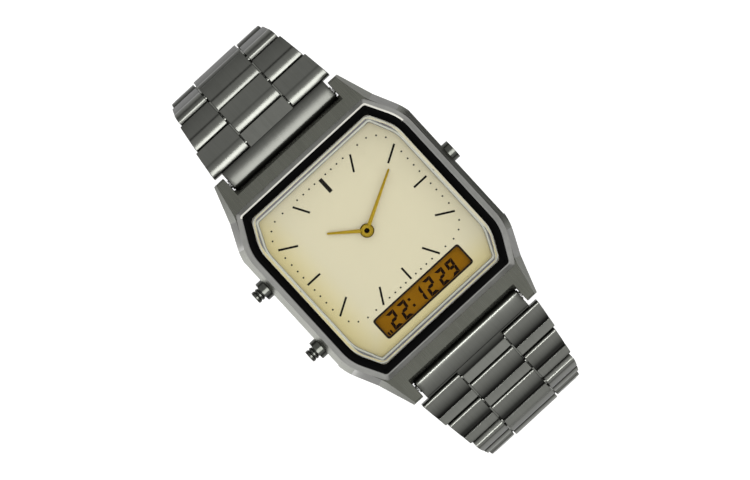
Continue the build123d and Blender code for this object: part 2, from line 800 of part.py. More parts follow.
half_names = ((1, "12"), (-1, "6"))
for side, half in half_names:
    plane = link_plane(side, pins[0], end_link_slope)
    low_angle = degrees(asin(link_under / end_link_nose))
    nose_flat = sqrt(end_link_nose**2 - link_under**2)
    shoulder = end_link_reach - row_front
    tongue = end_link_reach + link_nose
    with BuildPart() as end_link:
        for half_width, back in ((end_link_width / 2, shoulder), (middle_width / 2, tongue)):
            with BuildSketch(plane):
                with BuildLine():
                    CenterArc((0, 0), end_link_nose, 90, 90 + low_angle)
                    TangentArc((0, end_link_nose), (shoulder, strip_height), tangent=(1, 0))
                    if back == tongue:
                        Polyline((shoulder, strip_height), (back, strip_height), (back, 0))
                        CenterArc((end_link_reach, 0), link_nose, 0, -link_low_angle)
                        Line((end_link_reach + link_flat, -link_under), (-nose_flat, -link_under))
                    else:
                        Polyline((shoulder, strip_height), (back, -link_under), (-nose_flat, -link_under))
                make_face()
            extrude(amount=half_width, both=True)
        with BuildSketch(plane):
            Circle(bar_radius + running_gap)
        extrude(amount=end_link_width, both=True, mode=Mode.SUBTRACT)
        with BuildSketch(plane):
            with Locations((end_link_reach, 0)):
                Circle(pin_radius)
        extrude(amount=middle_width, both=True, mode=Mode.SUBTRACT)
        with BuildSketch(plane):
            with Locations((end_link_reach, 0)):
                Circle(pin_radius)
        extrude(amount=row_widths[0] / 2 - pin_cover, both=True)
    keep(end_link, f"end_link_{half}")

    for row, slope in enumerate(row_slopes):
        plane = link_plane(side, pins[row + 1], slope)
        width, next_width = row_widths[row], row_widths[row + 1]
        last = row == len(row_slopes) - 1
        short, long = link_pitch - row_front, link_pitch + link_nose
        outer = column_view(-link_nose, long if last else short, True, last)
        middle_end = short if last and side < 0 else long
        middle = column_view(row_front, middle_end, False, middle_end == long)
        with BuildPart() as link:
            for x in (outer_start, -width / 2):
                with BuildSketch(plane.offset(x)):
                    add(outer)
                extrude(amount=width / 2 - outer_start)
            with BuildSketch(plane):
                add(middle)
            extrude(amount=middle_width / 2, both=True)
            with BuildSketch(plane):
                with Locations((row_front, -link_under)):
                    Rectangle(
                        short - row_front, link_under + link_nose - link_joint_drop,
                        align=(Align.MIN, Align.MIN),
                    )
            extrude(amount=outer_start, both=True)
            seen_from_above = taper(plane, -link_nose, long, width, next_width)
            extrude(to_extrude=seen_from_above, amount=link_pitch, both=True, mode=Mode.INTERSECT)
            with BuildSketch(plane):
                Circle(pin_radius + running_gap)
            extrude(amount=width / 2 - pin_cover + running_gap, both=True, mode=Mode.SUBTRACT)
            with BuildSketch(plane):
                with Locations((link_pitch, 0)):
                    Circle(clasp_pin_radius if last else pin_radius)
            if last and side > 0:
                extrude(amount=width, both=True, mode=Mode.SUBTRACT)
            else:
                extrude(amount=next_width / 2 - pin_cover, both=True)
        keep(link, f"link_{half}_{row + 1}")

# Clasp, seen from the side: y runs to the 12 o'clock end and z up
hinge_z = sheet + sheet_gap + eye_radius
blade_hinge = (clasp_bar_y - blade_hinge_back, hinge_z)
cover_hinge = (cover_hinge_in - clasp_bar_y, hinge_z)
bar_point = (clasp_bar_y, clasp_bar_z)
end_pin_point = (-clasp_bar_y, clasp_bar_z)
wall_inner = cover_width / 2 - sheet
blade_half = wall_inner - wall_side_gap
arm_start = inner_blade_width / 2 + blade_side_gap
middle_low = sheet + sheet_gap
inner_low = middle_low + blade_sheet + sheet_gap
floor_end = clasp_bar_y - floor_back

with BuildPart() as clasp_cover:
    for x in (wall_inner, -cover_width / 2):
        with BuildSketch(side_view().offset(x)):
            with BuildLine():
                Polyline(
                    (cover_hinge[0] - eye_radius, hinge_z), (cover_hinge[0] - eye_radius, floor_corner),
                    (cover_hinge[0] - eye_radius + floor_corner, 0), (floor_end, 0),
                    (clasp_bar_y, clasp_bar_z - eye_radius),
                )
                CenterArc(bar_point, eye_radius, -90, 180)
                Line((clasp_bar_y, clasp_bar_z + eye_radius), (cover_hinge[0], hinge_z + eye_radius))
                CenterArc(cover_hinge, eye_radius, 90, 90)
            make_face()
            for hole in range(adjust_holes):
                with Locations((clasp_bar_y - hole * adjust_pitch, clasp_bar_z)):
                    Circle(clasp_pin_radius + running_gap, mode=Mode.SUBTRACT)
        extrude(amount=sheet)
    with BuildSketch(Plane.XY):
        with Locations((0, cover_hinge[0])):
            Rectangle(cover_width, floor_end - cover_hinge[0], align=(Align.CENTER, Align.MIN))
    extrude(amount=sheet)
keep(clasp_cover, "clasp_cover")

with BuildPart() as cover_rivets:
    for x in (arm_start, -wall_inner):
        with BuildSketch(along_x(cover_hinge[0], hinge_z, x)):
            Circle(clasp_pin_radius)
        extrude(amount=wall_inner - arm_start)
keep(cover_rivets, "cover_rivets")

with BuildPart() as middle_blade:
    for y, z in (cover_hinge, blade_hinge):
        for x in (arm_start, -blade_half):
            with BuildSketch(along_x(y, z, x)):
                Circle(eye_radius)
            extrude(amount=blade_half - arm_start)
    with BuildSketch(Plane.XY.offset(middle_low)):
        with Locations((0, (cover_hinge[0] + blade_hinge[0]) / 2)):
            Rectangle(2 * blade_half, blade_hinge[0] - cover_hinge[0])
        for y, way in ((blade_hinge[0], Align.MAX), (cover_hinge[0], Align.MIN)):
            with Locations((0, y)):
                Rectangle(2 * arm_start, eye_radius + blade_side_gap, align=(Align.CENTER, way), mode=Mode.SUBTRACT)
    extrude(amount=blade_sheet)
    for y, z in (cover_hinge, blade_hinge):
        with BuildSketch(along_x(y, z)):
            Circle(clasp_pin_radius + running_gap)
        extrude(amount=cover_width, both=True, mode=Mode.SUBTRACT)
keep(middle_blade, "middle_blade")

with BuildPart() as inner_blade:
    for y, z in (blade_hinge, end_pin_point):
        with BuildSketch(along_x(y, z)):
            Circle(eye_radius)
        extrude(amount=inner_blade_width / 2, both=True)
    with BuildSketch(Plane.XY.offset(inner_low)):
        with Locations((0, (blade_hinge[0] - clasp_bar_y) / 2)):
            Rectangle(inner_blade_width, blade_hinge[0] + clasp_bar_y)
    extrude(amount=blade_sheet)
    for (y, z), gap in ((blade_hinge, 0), (end_pin_point, running_gap)):
        with BuildSketch(along_x(y, z)):
            Circle(clasp_pin_radius + gap)
        extrude(amount=inner_blade_width, both=True, mode=Mode.SUBTRACT)
keep(inner_blade, "inner_blade")

with BuildPart() as blade_pin:
    with BuildSketch(along_x(*blade_hinge)):
        Circle(clasp_pin_radius)
    extrude(amount=blade_half, both=True)
keep(blade_pin, "blade_pin")

with BuildPart() as clasp_bar:
    with BuildSketch(along_x(*bar_point)):
        Circle(clasp_pin_radius)
    extrude(amount=row_widths[-1] / 2 - layer_gap, both=True)
keep(clasp_bar, "clasp_bar")
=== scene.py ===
import json
from math import atan2, cos, degrees, hypot, pi, radians, sin, sqrt

import bmesh
import bpy
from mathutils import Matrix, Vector


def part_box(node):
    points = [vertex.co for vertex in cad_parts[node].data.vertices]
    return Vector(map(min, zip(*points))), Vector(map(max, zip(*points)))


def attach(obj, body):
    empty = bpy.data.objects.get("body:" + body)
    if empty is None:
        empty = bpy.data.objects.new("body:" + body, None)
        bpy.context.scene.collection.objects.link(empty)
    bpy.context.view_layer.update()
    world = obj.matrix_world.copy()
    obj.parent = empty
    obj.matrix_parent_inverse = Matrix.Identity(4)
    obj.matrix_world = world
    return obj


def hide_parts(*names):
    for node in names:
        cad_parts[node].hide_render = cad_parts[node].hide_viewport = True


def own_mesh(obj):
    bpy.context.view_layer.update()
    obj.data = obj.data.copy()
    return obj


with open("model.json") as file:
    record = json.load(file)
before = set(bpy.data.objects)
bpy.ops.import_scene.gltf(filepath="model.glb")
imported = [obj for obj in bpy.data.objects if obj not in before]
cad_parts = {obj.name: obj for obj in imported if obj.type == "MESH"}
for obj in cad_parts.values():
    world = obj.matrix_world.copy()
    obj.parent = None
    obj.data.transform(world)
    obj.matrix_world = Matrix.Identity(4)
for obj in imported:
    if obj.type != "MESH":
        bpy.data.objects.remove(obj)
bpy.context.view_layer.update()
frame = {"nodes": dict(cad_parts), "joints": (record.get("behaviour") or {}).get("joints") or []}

# A slim eight-sided watch with hands and a digital display, standing closed on its clasp.
# The frame is in metres, so a size in millimetres is multiplied by mm.
mm = 0.001
refraction = 1.5  # of glass, lacquer and plastic
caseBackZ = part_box("case_back")[0].z
scene = bpy.context.scene
scene.view_settings.view_transform = "Standard"


# Colours and nodes
def linearColour(code, alpha=1.0):
    channels = [int(code[i:i + 2], 16) / 255 for i in (1, 3, 5)]
    linear = [c / 12.92 if c <= 0.04045 else ((c + 0.055) / 1.055) ** 2.4 for c in channels]
    return (*linear, alpha)


def addNode(tree, kind, settings=None, links=None):
    # Settings are properties of the node or values of its sockets; links are sockets that feed it
    node = tree.nodes.new(kind)
    for key, value in (settings or {}).items():
        if isinstance(key, int) or key in node.inputs:
            node.inputs[key].default_value = value
        else:
            setattr(node, key, value)
    for key, source in (links or {}).items():
        tree.links.new(source, node.inputs[key])
    return node


def newMaterial(name, settings):
    material = bpy.data.materials.new(name)
    material.use_nodes = True
    tree = material.node_tree
    shader = tree.nodes["Principled BSDF"]
    for key, value in settings.items():
        shader.inputs[key].default_value = value
    return material, tree, shader


def twoTones(tree, source, look, ends=(0.0, 1.0)):
    # From the dark tone to the light one as the source grows
    ramp = addNode(tree, "ShaderNodeValToRGB", links={"Fac": source})
    for element, position, tone in zip(ramp.color_ramp.elements, ends, ("dark", "light")):
        element.position, element.color = position, linearColour(look[tone])
    return ramp.outputs["Color"]


grainLook = {"mottleShare": 0.35, "mottleDetail": 2.0, "detail": 4.0, "roughness": 0.6,
             "rampEnds": (0.3, 0.7), "depthMm": 0.02}


def grainedMetal(name, look):
    # Metal with straight brushing: streaks far longer than they are wide, in colour, gloss and height
    material, tree, shader = newMaterial(name, {"Metallic": 1.0, "Roughness": look["roughness"]})
    place = addNode(tree, "ShaderNodeTexCoord")
    stretch = addNode(tree, "ShaderNodeMapping", {"Scale": [1 / (size * mm) for size in look["grainMm"]]},
                      {"Vector": place.outputs["Object"]})
    grain = addNode(tree, "ShaderNodeTexNoise", {
        "Scale": 1.0, "Detail": grainLook["detail"], "Roughness": grainLook["roughness"],
    }, {"Vector": stretch.outputs["Vector"]})
    mottle = addNode(tree, "ShaderNodeTexNoise", {
        "Scale": 1 / (look["mottleMm"] * mm), "Detail": grainLook["mottleDetail"],
    }, {"Vector": place.outputs["Object"]})
    tone = addNode(tree, "ShaderNodeMix", {"data_type": "RGBA", "Factor": grainLook["mottleShare"]},
                   {"A": grain.outputs["Fac"], "B": mottle.outputs["Fac"]})
    colour = twoTones(tree, tone.outputs["Result"], look, grainLook["rampEnds"])
    gloss = addNode(tree, "ShaderNodeMapRange", {
        "To Min": look["roughness"] - look["glossSpread"], "To Max": look["roughness"] + look["glossSpread"],
    }, {"Value": grain.outputs["Fac"]})
    bump = addNode(tree, "ShaderNodeBump", {"Strength": look["bump"], "Distance": grainLook["depthMm"] * mm},
                   {"Height": grain.outputs["Fac"]})
    if "paintedShade" in look:
        # painted shade: the colour darkens as far as the mesh's valley values say
        valley = addNode(tree, "ShaderNodeAttribute", {"attribute_name": "valley"})
        plated = addNode(tree, "ShaderNodeMix", {"data_type": "RGBA", "B": linearColour(look["paintedShade"])},
                         {"Factor": valley.outputs["Fac"], "A": colour})
        colour = plated.outputs["Result"]
    tree.links.new(colour, shader.inputs["Base Color"])
    tree.links.new(gloss.outputs["Result"], shader.inputs["Roughness"])
    tree.links.new(bump.outputs["Normal"], shader.inputs["Normal"])
    return material


# Gunmetal-plated stainless steel, brushed along the bracelet: a soft, slightly olive grey
brushedLook = {"dark": "#54554E", "light": "#5E5F58", "roughness": 0.27, "glossSpread": 0.04,
               "grainMm": (0.22, 6.0, 6.0), "mottleMm": 2.5, "bump": 0.04}
brushedGunmetal = grainedMetal("brushedGunmetalSteel", brushedLook)
# The bracelet's rows: a lighter copy of the plating, with painted shade that darkens their valleys, crowns
# and flats
rowLook = {**brushedLook, "dark": "#686964", "light": "#70716C", "roughness": 0.29, "glossSpread": 0.01,
           "bump": 0.015, "paintedShade": "#0C0C0B"}
rowGunmetal = grainedMetal("brushedGunmetalRows", rowLook)
# The same plating over polished edges: mirror-like, with a trace of polishing haze
polishedLook = {"dark": "#5E5E5B", "light": "#6C6C69", "roughness": 0.14, "glossSpread": 0.03,
                "grainMm": (1.5, 1.5, 1.5), "mottleMm": 3.0, "bump": 0.03}
polishedGunmetal = grainedMetal("polishedGunmetalSteel", polishedLook)
# The slope round the black band: the same plating, satin, with its colour painted a shade lighter than the
# brushed plates, as a painted highlight along the slope
bezelLook = {"dark": "#82827F", "light": "#90908C", "roughness": 0.34, "glossSpread": 0.03,
             "grainMm": (1.0, 1.0, 1.0), "mottleMm": 3.0, "bump": 0.02}
satinGunmetal = grainedMetal("satinGunmetalPaintedLighter", bezelLook)
# Plain stainless steel of the back, clasp and pins: lighter and cooler than the plating
satinLook = {"dark": "#8B8B88", "light": "#A3A3A0", "roughness": 0.28, "glossSpread": 0.06,
             "grainMm": (0.2, 4.0, 4.0), "mottleMm": 3.0, "bump": 0.2}
satinSteel = grainedMetal("satinStainlessSteel", satinLook)
# The same steel turned: smoother and brighter, for screws, bars and springs
turnedLook = {"dark": "#8F8F8D", "light": "#A8A8A6", "roughness": 0.16, "glossSpread": 0.03,
              "grainMm": (0.3, 0.3, 0.3), "mottleMm": 1.0, "bump": 0.05}
turnedSteel = grainedMetal("turnedStainlessSteel", turnedLook)
# Gilt brass of the hands: warm, bright, barely grained
giltLook = {"dark": "#A88A22", "light": "#BFA038", "roughness": 0.34, "glossSpread": 0.04,
            "grainMm": (0.1, 0.1, 0.1), "mottleMm": 1.0, "bump": 0.04}
giltBrass = grainedMetal("giltBrass", giltLook)
# Hardened steel of the arbor: polished, so that its end mirrors the dark overhead; its colour is painted
# dark brown too, a painted reflection that keeps its end dark
arborSteel = grainedMetal("hardenedSteelArbor", {
    "dark": "#3E342A", "light": "#4C4034", "roughness": 0.12, "glossSpread": 0.02,
    "grainMm": (0.2, 0.2, 0.2), "mottleMm": 1.0, "bump": 0.02})
# Blackened steel of the pushers: dark, with one clear band of light along each head
pushLook = {"dark": "#3C3D39", "light": "#4B4C48", "roughness": 0.2, "glossSpread": 0.03,
            "grainMm": (0.3, 0.3, 0.3), "mottleMm": 1.0, "bump": 0.03}
blackenedSteel = grainedMetal("blackenedTurnedSteel", pushLook)
# Satin silver ring between the dial and the crystal: a cool, soft grey
ringLook = {"dark": "#86838A", "light": "#98959B", "roughness": 0.35, "glossSpread": 0.04,
            "grainMm": (0.5, 0.5, 0.5), "mottleMm": 2.0, "bump": 0.04}
satinSilver = grainedMetal("satinSilverRing", ringLook)


def cloudedFinish(name, settings, look):
    # A colour that changes softly between two tones, in spots of the given size, which a bump raises
    material, tree, shader = newMaterial(name, settings)
    place = addNode(tree, "ShaderNodeTexCoord")
    cloud = addNode(tree, "ShaderNodeTexNoise", {
        "Scale": 1 / (look["spotMm"] * mm), "Detail": look["detail"],
    }, {"Vector": place.outputs["Object"]})
    tree.links.new(twoTones(tree, cloud.outputs["Fac"], look), shader.inputs["Base Color"])
    if "bump" in look:
        relief = addNode(tree, "ShaderNodeBump", {
            "Strength": look["bump"], "Distance": look["depthMm"] * mm,
        }, {"Height": cloud.outputs["Fac"]})
        tree.links.new(relief.outputs["Normal"], shader.inputs["Normal"])
    return material


# Painted highlight: a pale silver colour with a fine frosted finish, put on the bezel's upper edge at its
# far corner and on its right, and on the silver ring's slope, in place of bright lines of light there; it
# stays pale from every side
paintedHighlightLook = {"dark": "#D8D6CC", "light": "#E6E4DA", "spotMm": 0.3, "detail": 2.0}
paintedHighlightRim = cloudedFinish("paintedHighlightSilver", {"Metallic": 0.35, "Roughness": 0.3}, paintedHighlightLook)


def mouldedPlastic(name, dark, light, roughness, bump=0.15, gloss=0.5):
    # Injection-moulded surface: an even colour with a fine spark-eroded grain
    return cloudedFinish(name, {"Roughness": roughness, "IOR": refraction, "Specular IOR Level": gloss}, {
        "dark": dark, "light": light, "spotMm": 0.12, "detail": 3.0, "bump": bump, "depthMm": 0.01})


# The gasket is near black with a faint sheen. The parts of the module are dull and differ in colour,
# the coil has a coppery glint, and the prints and the display's border are even, dark browns.
glossBlack = mouldedPlastic("glossBlackGasket", "#030303", "#070707", 0.25, bump=0.02, gloss=0.03)
blackNylon = mouldedPlastic("blackGlassFilledNylon", "#1A1A1B", "#29292A", 0.55)
greenBoard = mouldedPlastic("greenSolderMask", "#0E3A20", "#174D2C", 0.35)
blackEpoxy = mouldedPlastic("blackEpoxyChip", "#0B0B0C", "#161617", 0.45)
sealRubber = mouldedPlastic("nitrileSeal", "#0D0D0D", "#191919", 0.6)
zebraRubber = mouldedPlastic("layeredSiliconeStrip", "#4A4A4E", "#6A6A70", 0.6)
copperWire = grainedMetal("enamelledCopperWire", {
    "dark": "#8A3F1E", "light": "#C8703A", "roughness": 0.3, "glossSpread": 0.05,
    "grainMm": (0.06, 5.0, 5.0), "mottleMm": 1.0, "bump": 0.6})
printInk = mouldedPlastic("darkBrownPrint", "#140F0A", "#1D1710", 0.6, bump=0.02, gloss=0.15)
displayInk = mouldedPlastic("displayDigits", "#1A0C04", "#221206", 0.6, bump=0.02, gloss=0.03)
displayBorder = mouldedPlastic("displayBorderDarkBrown", "#1E140A", "#2A1C0F", 0.6, bump=0.02, gloss=0.15)


dialLook = {
    "dark": "#E5D8B8", "light": "#EDE1C3", "metallic": 0.25, "roughness": 0.42, "rayScale": 60.0,
    "rayDetail": 3.0, "golden": "#EFDA92", "goldenShare": 0.75,
    # where the golden tone is full and where it ends, from the hands' axis
    "goldenMm": (("X", -12.0, -6.5), ("Y", -14.5, -9.0)),
}


def champagneDial():
    # Brass blank with champagne lacquer over a fine sunray brushing that turns round the hands' axis
    material, tree, shader = newMaterial("champagneSunrayDial", {
        "Metallic": dialLook["metallic"], "Roughness": dialLook["roughness"]})
    place = addNode(tree, "ShaderNodeTexCoord")
    centred = addNode(tree, "ShaderNodeVectorMath", {"operation": "SUBTRACT", 1: handsAxis},
                      {0: place.outputs["Object"]})
    polar = addNode(tree, "ShaderNodeSeparateXYZ", links={"Vector": centred.outputs["Vector"]})
    angle = addNode(tree, "ShaderNodeMath", {"operation": "ARCTAN2"},
                    {0: polar.outputs["Y"], 1: polar.outputs["X"]})
    spread = addNode(tree, "ShaderNodeCombineXYZ", links={"X": angle.outputs["Value"]})
    rays = addNode(tree, "ShaderNodeTexNoise", {
        "Scale": dialLook["rayScale"], "Detail": dialLook["rayDetail"],
    }, {"Vector": spread.outputs["Vector"]})
    lacquer = twoTones(tree, rays.outputs["Fac"], dialLook)
    # the colour turns golden towards the 9 o'clock side and the foot of the dial
    edges = [addNode(tree, "ShaderNodeMapRange", {
        "interpolation_type": "SMOOTHSTEP", "From Min": full * mm, "From Max": none * mm,
        "To Min": dialLook["goldenShare"], "To Max": 0.0,
    }, {"Value": polar.outputs[axis]}) for axis, full, none in dialLook["goldenMm"]]
    golden = addNode(tree, "ShaderNodeMath", {"operation": "MAXIMUM"},
                     {0: edges[0].outputs["Result"], 1: edges[1].outputs["Result"]})
    warm = addNode(tree, "ShaderNodeMix", {"data_type": "RGBA", "B": linearColour(dialLook["golden"])},
                   {"Factor": golden.outputs["Value"], "A": lacquer})
    tree.links.new(warm.outputs["Result"], shader.inputs["Base Color"])
    return material


def clearCrystal():
    # Mineral glass: clear, with sharp reflections; its shadow is left light, as thin glass casts
    tint = linearColour("#FBFDFC")
    material, tree, shader = newMaterial("mineralGlassCrystal", {
        "Base Color": tint, "Roughness": 0.0, "IOR": refraction, "Transmission Weight": 1.0})
    clear = addNode(tree, "ShaderNodeBsdfTransparent", {"Color": tint})
    path = addNode(tree, "ShaderNodeLightPath")
    either = addNode(tree, "ShaderNodeMath", {"operation": "MAXIMUM"},
                     {0: path.outputs["Is Shadow Ray"], 1: path.outputs["Is Diffuse Ray"]})
    mixed = addNode(tree, "ShaderNodeMixShader", links={
        0: either.outputs["Value"], 1: shader.outputs["BSDF"], 2: clear.outputs["BSDF"]})
    tree.links.new(mixed.outputs["Shader"], tree.nodes["Material Output"].inputs["Surface"])
    return material


# Amber filter over the display: dull, evenly lit, with soft lighter clouds
amberLook = {"dark": "#8A5A04", "light": "#A26E0A", "spotMm": 3.0, "detail": 1.0}
amberFilter = cloudedFinish("amberDisplayFilter", {
    "Roughness": 0.35, "IOR": refraction, "Specular IOR Level": 0.05}, amberLook)


# Meshes. Places closer together than this become one.
weldMm = 0.0005


def linkPiece(name, mesh, smoothDegrees):
    mesh.shade_smooth()
    mesh.set_sharp_from_angle(angle=radians(smoothDegrees))
    piece = bpy.data.objects.new(name, mesh)
    scene.collection.objects.link(piece)
    return piece


def meshObject(name, vertices, faces, materials, paintedShade=None, smoothDegrees=40):
    # one value for each vertex says how much painted shade darkens the colour there
    mesh = bpy.data.meshes.new(name)
    mesh.from_pydata([Vector(v) for v in vertices], [], faces)
    for material in materials:
        mesh.materials.append(material)
    if paintedShade:
        mesh.attributes.new("valley", "FLOAT", "POINT").data.foreach_set("value", paintedShade)
    form = bmesh.new()
    form.from_mesh(mesh)
    bmesh.ops.remove_doubles(form, verts=form.verts, dist=weldMm * mm)
    bmesh.ops.recalc_face_normals(form, faces=form.faces)
    form.to_mesh(mesh)
    form.free()
    return linkPiece(name, mesh, smoothDegrees)


def roundEdges(piece, widthMm, segments=3, angle=35):
    # A small rounding on every crisp edge, so that edges catch the light as worn or polished ones do
    bevel = piece.modifiers.new("roundEdges", "BEVEL")
    bevel.width = widthMm * mm
    bevel.segments = segments
    bevel.limit_method = "ANGLE"
    bevel.angle_limit = radians(angle)
    bevel.harden_normals = True


def skinFaces(count, rings, first=0, capped=True):
    # Faces between rings of count places each, and over the two ends
    faces = [(first + i * count + k, first + i * count + (k + 1) % count,
              first + (i + 1) * count + (k + 1) % count, first + (i + 1) * count + k)
             for i in range(rings - 1) for k in range(count)]
    if capped:
        last = first + (rings - 1) * count
        faces += [tuple(range(first + count - 1, first - 1, -1)), tuple(range(last, last + count))]
    return faces


def insetCorners(corners, inset):
    # Moves every side of a closed outline inwards
    moved, count = [], len(corners)
    for k in range(count):
        before, here, after = (Vector(corners[(k + i) % count]) for i in (-1, 0, 1))
        first, second = (here - before).normalized(), (after - here).normalized()
        normalA, normalB = Vector((-first.y, first.x)), Vector((-second.y, second.x))
        scale = inset / (1 + normalA.dot(normalB))
        moved.append(tuple(here + (normalA + normalB) * scale))
    return moved


def seatPiece(piece, body, slot, nodes=()):
    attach(piece, body)
    if nodes:
        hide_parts(*nodes)


def paint(names, material):
    for name in names:
        slots = frame["nodes"][name].data.materials
        slots.clear()
        slots.append(material)


remadeLook = {"joinMm": 0.001, "flatDegrees": 1.0, "sharpDegrees": 30}


def remade(node, name, material):
    # A CAD node's own form in whole faces, with a finish of its own
    source = frame["nodes"][node].data
    mesh = bpy.data.meshes.new(name)
    form = bmesh.new()
    form.from_mesh(source)
    bmesh.ops.remove_doubles(form, verts=form.verts, dist=remadeLook["joinMm"] * mm)
    bmesh.ops.dissolve_limit(form, angle_limit=radians(remadeLook["flatDegrees"]), verts=form.verts,
                             edges=form.edges, delimit={"NORMAL"})
    form.to_mesh(mesh)
    form.free()
    mesh.materials.clear()
    mesh.materials.append(material)
    for polygon in mesh.polygons:
        polygon.material_index = 0
    return linkPiece(name, mesh, remadeLook["sharpDegrees"])


# Where the hands turn, and the chain's pins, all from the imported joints
joints = {joint["name"]: joint for joint in frame["joints"]}
handsAxis = Vector(joints["minute_turn"]["pos_m"])


def chainPins(half):
    count = sum(1 for name in joints if name.startswith(f"hinge_{half}_"))
    pins = [Vector(joints[f"hinge_{half}_{k}"]["pos_m"]) for k in range(count)]
    clasp = (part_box("clasp_bar")[0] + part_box("clasp_bar")[1]) / 2
    last = Vector((0, clasp.y if half == "12" else -clasp.y, clasp.z))
    return pins + [last]


# Camera: straight above the case, rolled so that 12 o'clock points up and to the left
cameraView = {
    "distanceMm": 550, "rollDegrees": -42.6, "scalePxPerMm": 7.65, "imageWidth": 750, "sensorMm": 36,
    "axisPixel": (367.0, 230.5), "middlePixel": (375.0, 240.0), "clip": (0.05, 20),
}
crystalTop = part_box("crystal")[1].z
lens = bpy.data.cameras.new("photoCamera")
camera = bpy.data.objects.new("photoCamera", lens)
scene.collection.objects.link(camera)
lens.sensor_width = cameraView["sensorMm"]
lens.lens = (cameraView["scalePxPerMm"] * cameraView["distanceMm"] * cameraView["sensorMm"]
             / cameraView["imageWidth"])
lens.clip_start, lens.clip_end = cameraView["clip"]
roll = radians(cameraView["rollDegrees"])
right, up = Vector((cos(roll), sin(roll), 0)), Vector((-sin(roll), cos(roll), 0))
offset = [(a - b) / cameraView["scalePxPerMm"] * mm
          for a, b in zip(cameraView["middlePixel"], cameraView["axisPixel"])]
middle = handsAxis + right * offset[0] - up * offset[1]
camera.location = (middle.x, middle.y, crystalTop + cameraView["distanceMm"] * mm)
camera.rotation_euler = (0, 0, roll)
scene.camera = camera
print("stage: camera")

# Floor, world and lamps
floorLook = {"sizeMm": 3000, "colour": "#F4F4F3", "seenGlow": 0.5, "mirroredGlow": 0.2}
half = floorLook["sizeMm"] * mm / 2
floor = meshObject("floor", [(-half, -half, 0), (half, -half, 0), (half, half, 0), (-half, half, 0)],
                   [(0, 1, 2, 3)], [])
floorMaterial, tree, shader = newMaterial("whitePaper", {
    "Base Color": linearColour(floorLook["colour"]), "Roughness": 0.8})
path = addNode(tree, "ShaderNodeLightPath")
mirrored = addNode(tree, "ShaderNodeMath", {"operation": "MAXIMUM"},
                   {0: path.outputs["Is Glossy Ray"], 1: path.outputs["Is Transmission Ray"]})
direct = addNode(tree, "ShaderNodeMath", {"operation": "MULTIPLY", 1: floorLook["seenGlow"]},
                 {0: path.outputs["Is Camera Ray"]})
glow = addNode(tree, "ShaderNodeMath", {"operation": "MULTIPLY_ADD", 1: floorLook["mirroredGlow"]},
               {0: mirrored.outputs["Value"], 2: direct.outputs["Value"]})
shader.inputs["Emission Color"].default_value = (1, 1, 1, 1)
tree.links.new(glow.outputs["Value"], shader.inputs["Emission Strength"])
floor.data.materials.append(floorMaterial)

# A pale tent overhead, dark close round the lens and near the horizon, and a little lighter beyond
# 6 o'clock. Each box lights its own group of pieces: one draws the bright bands along the rows of the
# 12 side, one the thin lines on the 6 side, and two brighten the 9 o'clock side of the case.
studioLook = {
    "strength": 1.32,
    "tones": ((0.0, 0.1), (0.2, 0.14), (0.35, 0.6), (0.5, 0.85), (0.7, 0.85), (0.93, 0.85), (0.985, 0.95),
              (0.991, 0.02), (1.0, 0.02)),
    "nearToFar": (1.12, 0.92), "nearToFarRange": 0.4,
    "lamps": {
        "bandBox": {"watts": 6.2, "sizeMm": (520, 420), "place": (0, -173, 645), "aim": (0, 25, 36),
                    "lights": "rows12"},
        "lineBox": {"watts": 3.6, "sizeMm": (520, 70), "place": (0, 173, 642), "aim": (0, -25, 33),
                    "lights": "rows6"},
        "leftBox": {"watts": 0.5, "sizeMm": (160, 420), "place": (-430, -120, 200), "aim": (0, 0, 30),
                    "lights": "caseMetal"},
        "flankBox": {"watts": 0.012, "sizeMm": (44, 55), "place": (-55, 0, 1), "aim": (-55, 0, 100),
                     "lights": "flanks"},
    },
    "card": {"acrossMm": (25, 70), "lengthMm": 42, "glow": 0.25},
}
world = bpy.data.worlds.new("studio")
scene.world = world
world.use_nodes = True
tree = world.node_tree
tree.nodes.clear()
direction = addNode(tree, "ShaderNodeTexCoord")
height = addNode(tree, "ShaderNodeSeparateXYZ", links={"Vector": direction.outputs["Generated"]})
studio = addNode(tree, "ShaderNodeValToRGB", links={"Fac": height.outputs["Z"]})
ramp = studio.color_ramp
ramp.elements[0].position, ramp.elements[1].position = studioLook["tones"][0][0], studioLook["tones"][-1][0]
for position, _ in studioLook["tones"][1:-1]:
    ramp.elements.new(position)
for element, (_, tone) in zip(ramp.elements, studioLook["tones"]):
    element.color = (tone, tone, tone, 1)
near, far = studioLook["nearToFar"]
side = addNode(tree, "ShaderNodeMapRange", {
    "From Min": -studioLook["nearToFarRange"], "From Max": studioLook["nearToFarRange"],
    "To Min": near, "To Max": far,
}, {"Value": height.outputs["Y"]})
lit = addNode(tree, "ShaderNodeVectorMath", {"operation": "SCALE"},
              {"Vector": studio.outputs["Color"], "Scale": side.outputs["Result"]})
path = addNode(tree, "ShaderNodeLightPath")
soft = addNode(tree, "ShaderNodeBackground", {"Strength": studioLook["strength"]},
               {"Color": lit.outputs["Vector"]})
white = addNode(tree, "ShaderNodeBackground", {"Color": (1, 1, 1, 1), "Strength": 1.0})
seen = addNode(tree, "ShaderNodeMixShader", links={
    0: path.outputs["Is Camera Ray"], 1: soft.outputs["Background"], 2: white.outputs["Background"]})
addNode(tree, "ShaderNodeOutputWorld", links={"Surface": seen.outputs["Shader"]})

# The pieces that each box lights
litPieces = {look["lights"]: bpy.data.collections.new(look["lights"])
             for look in studioLook["lamps"].values()}


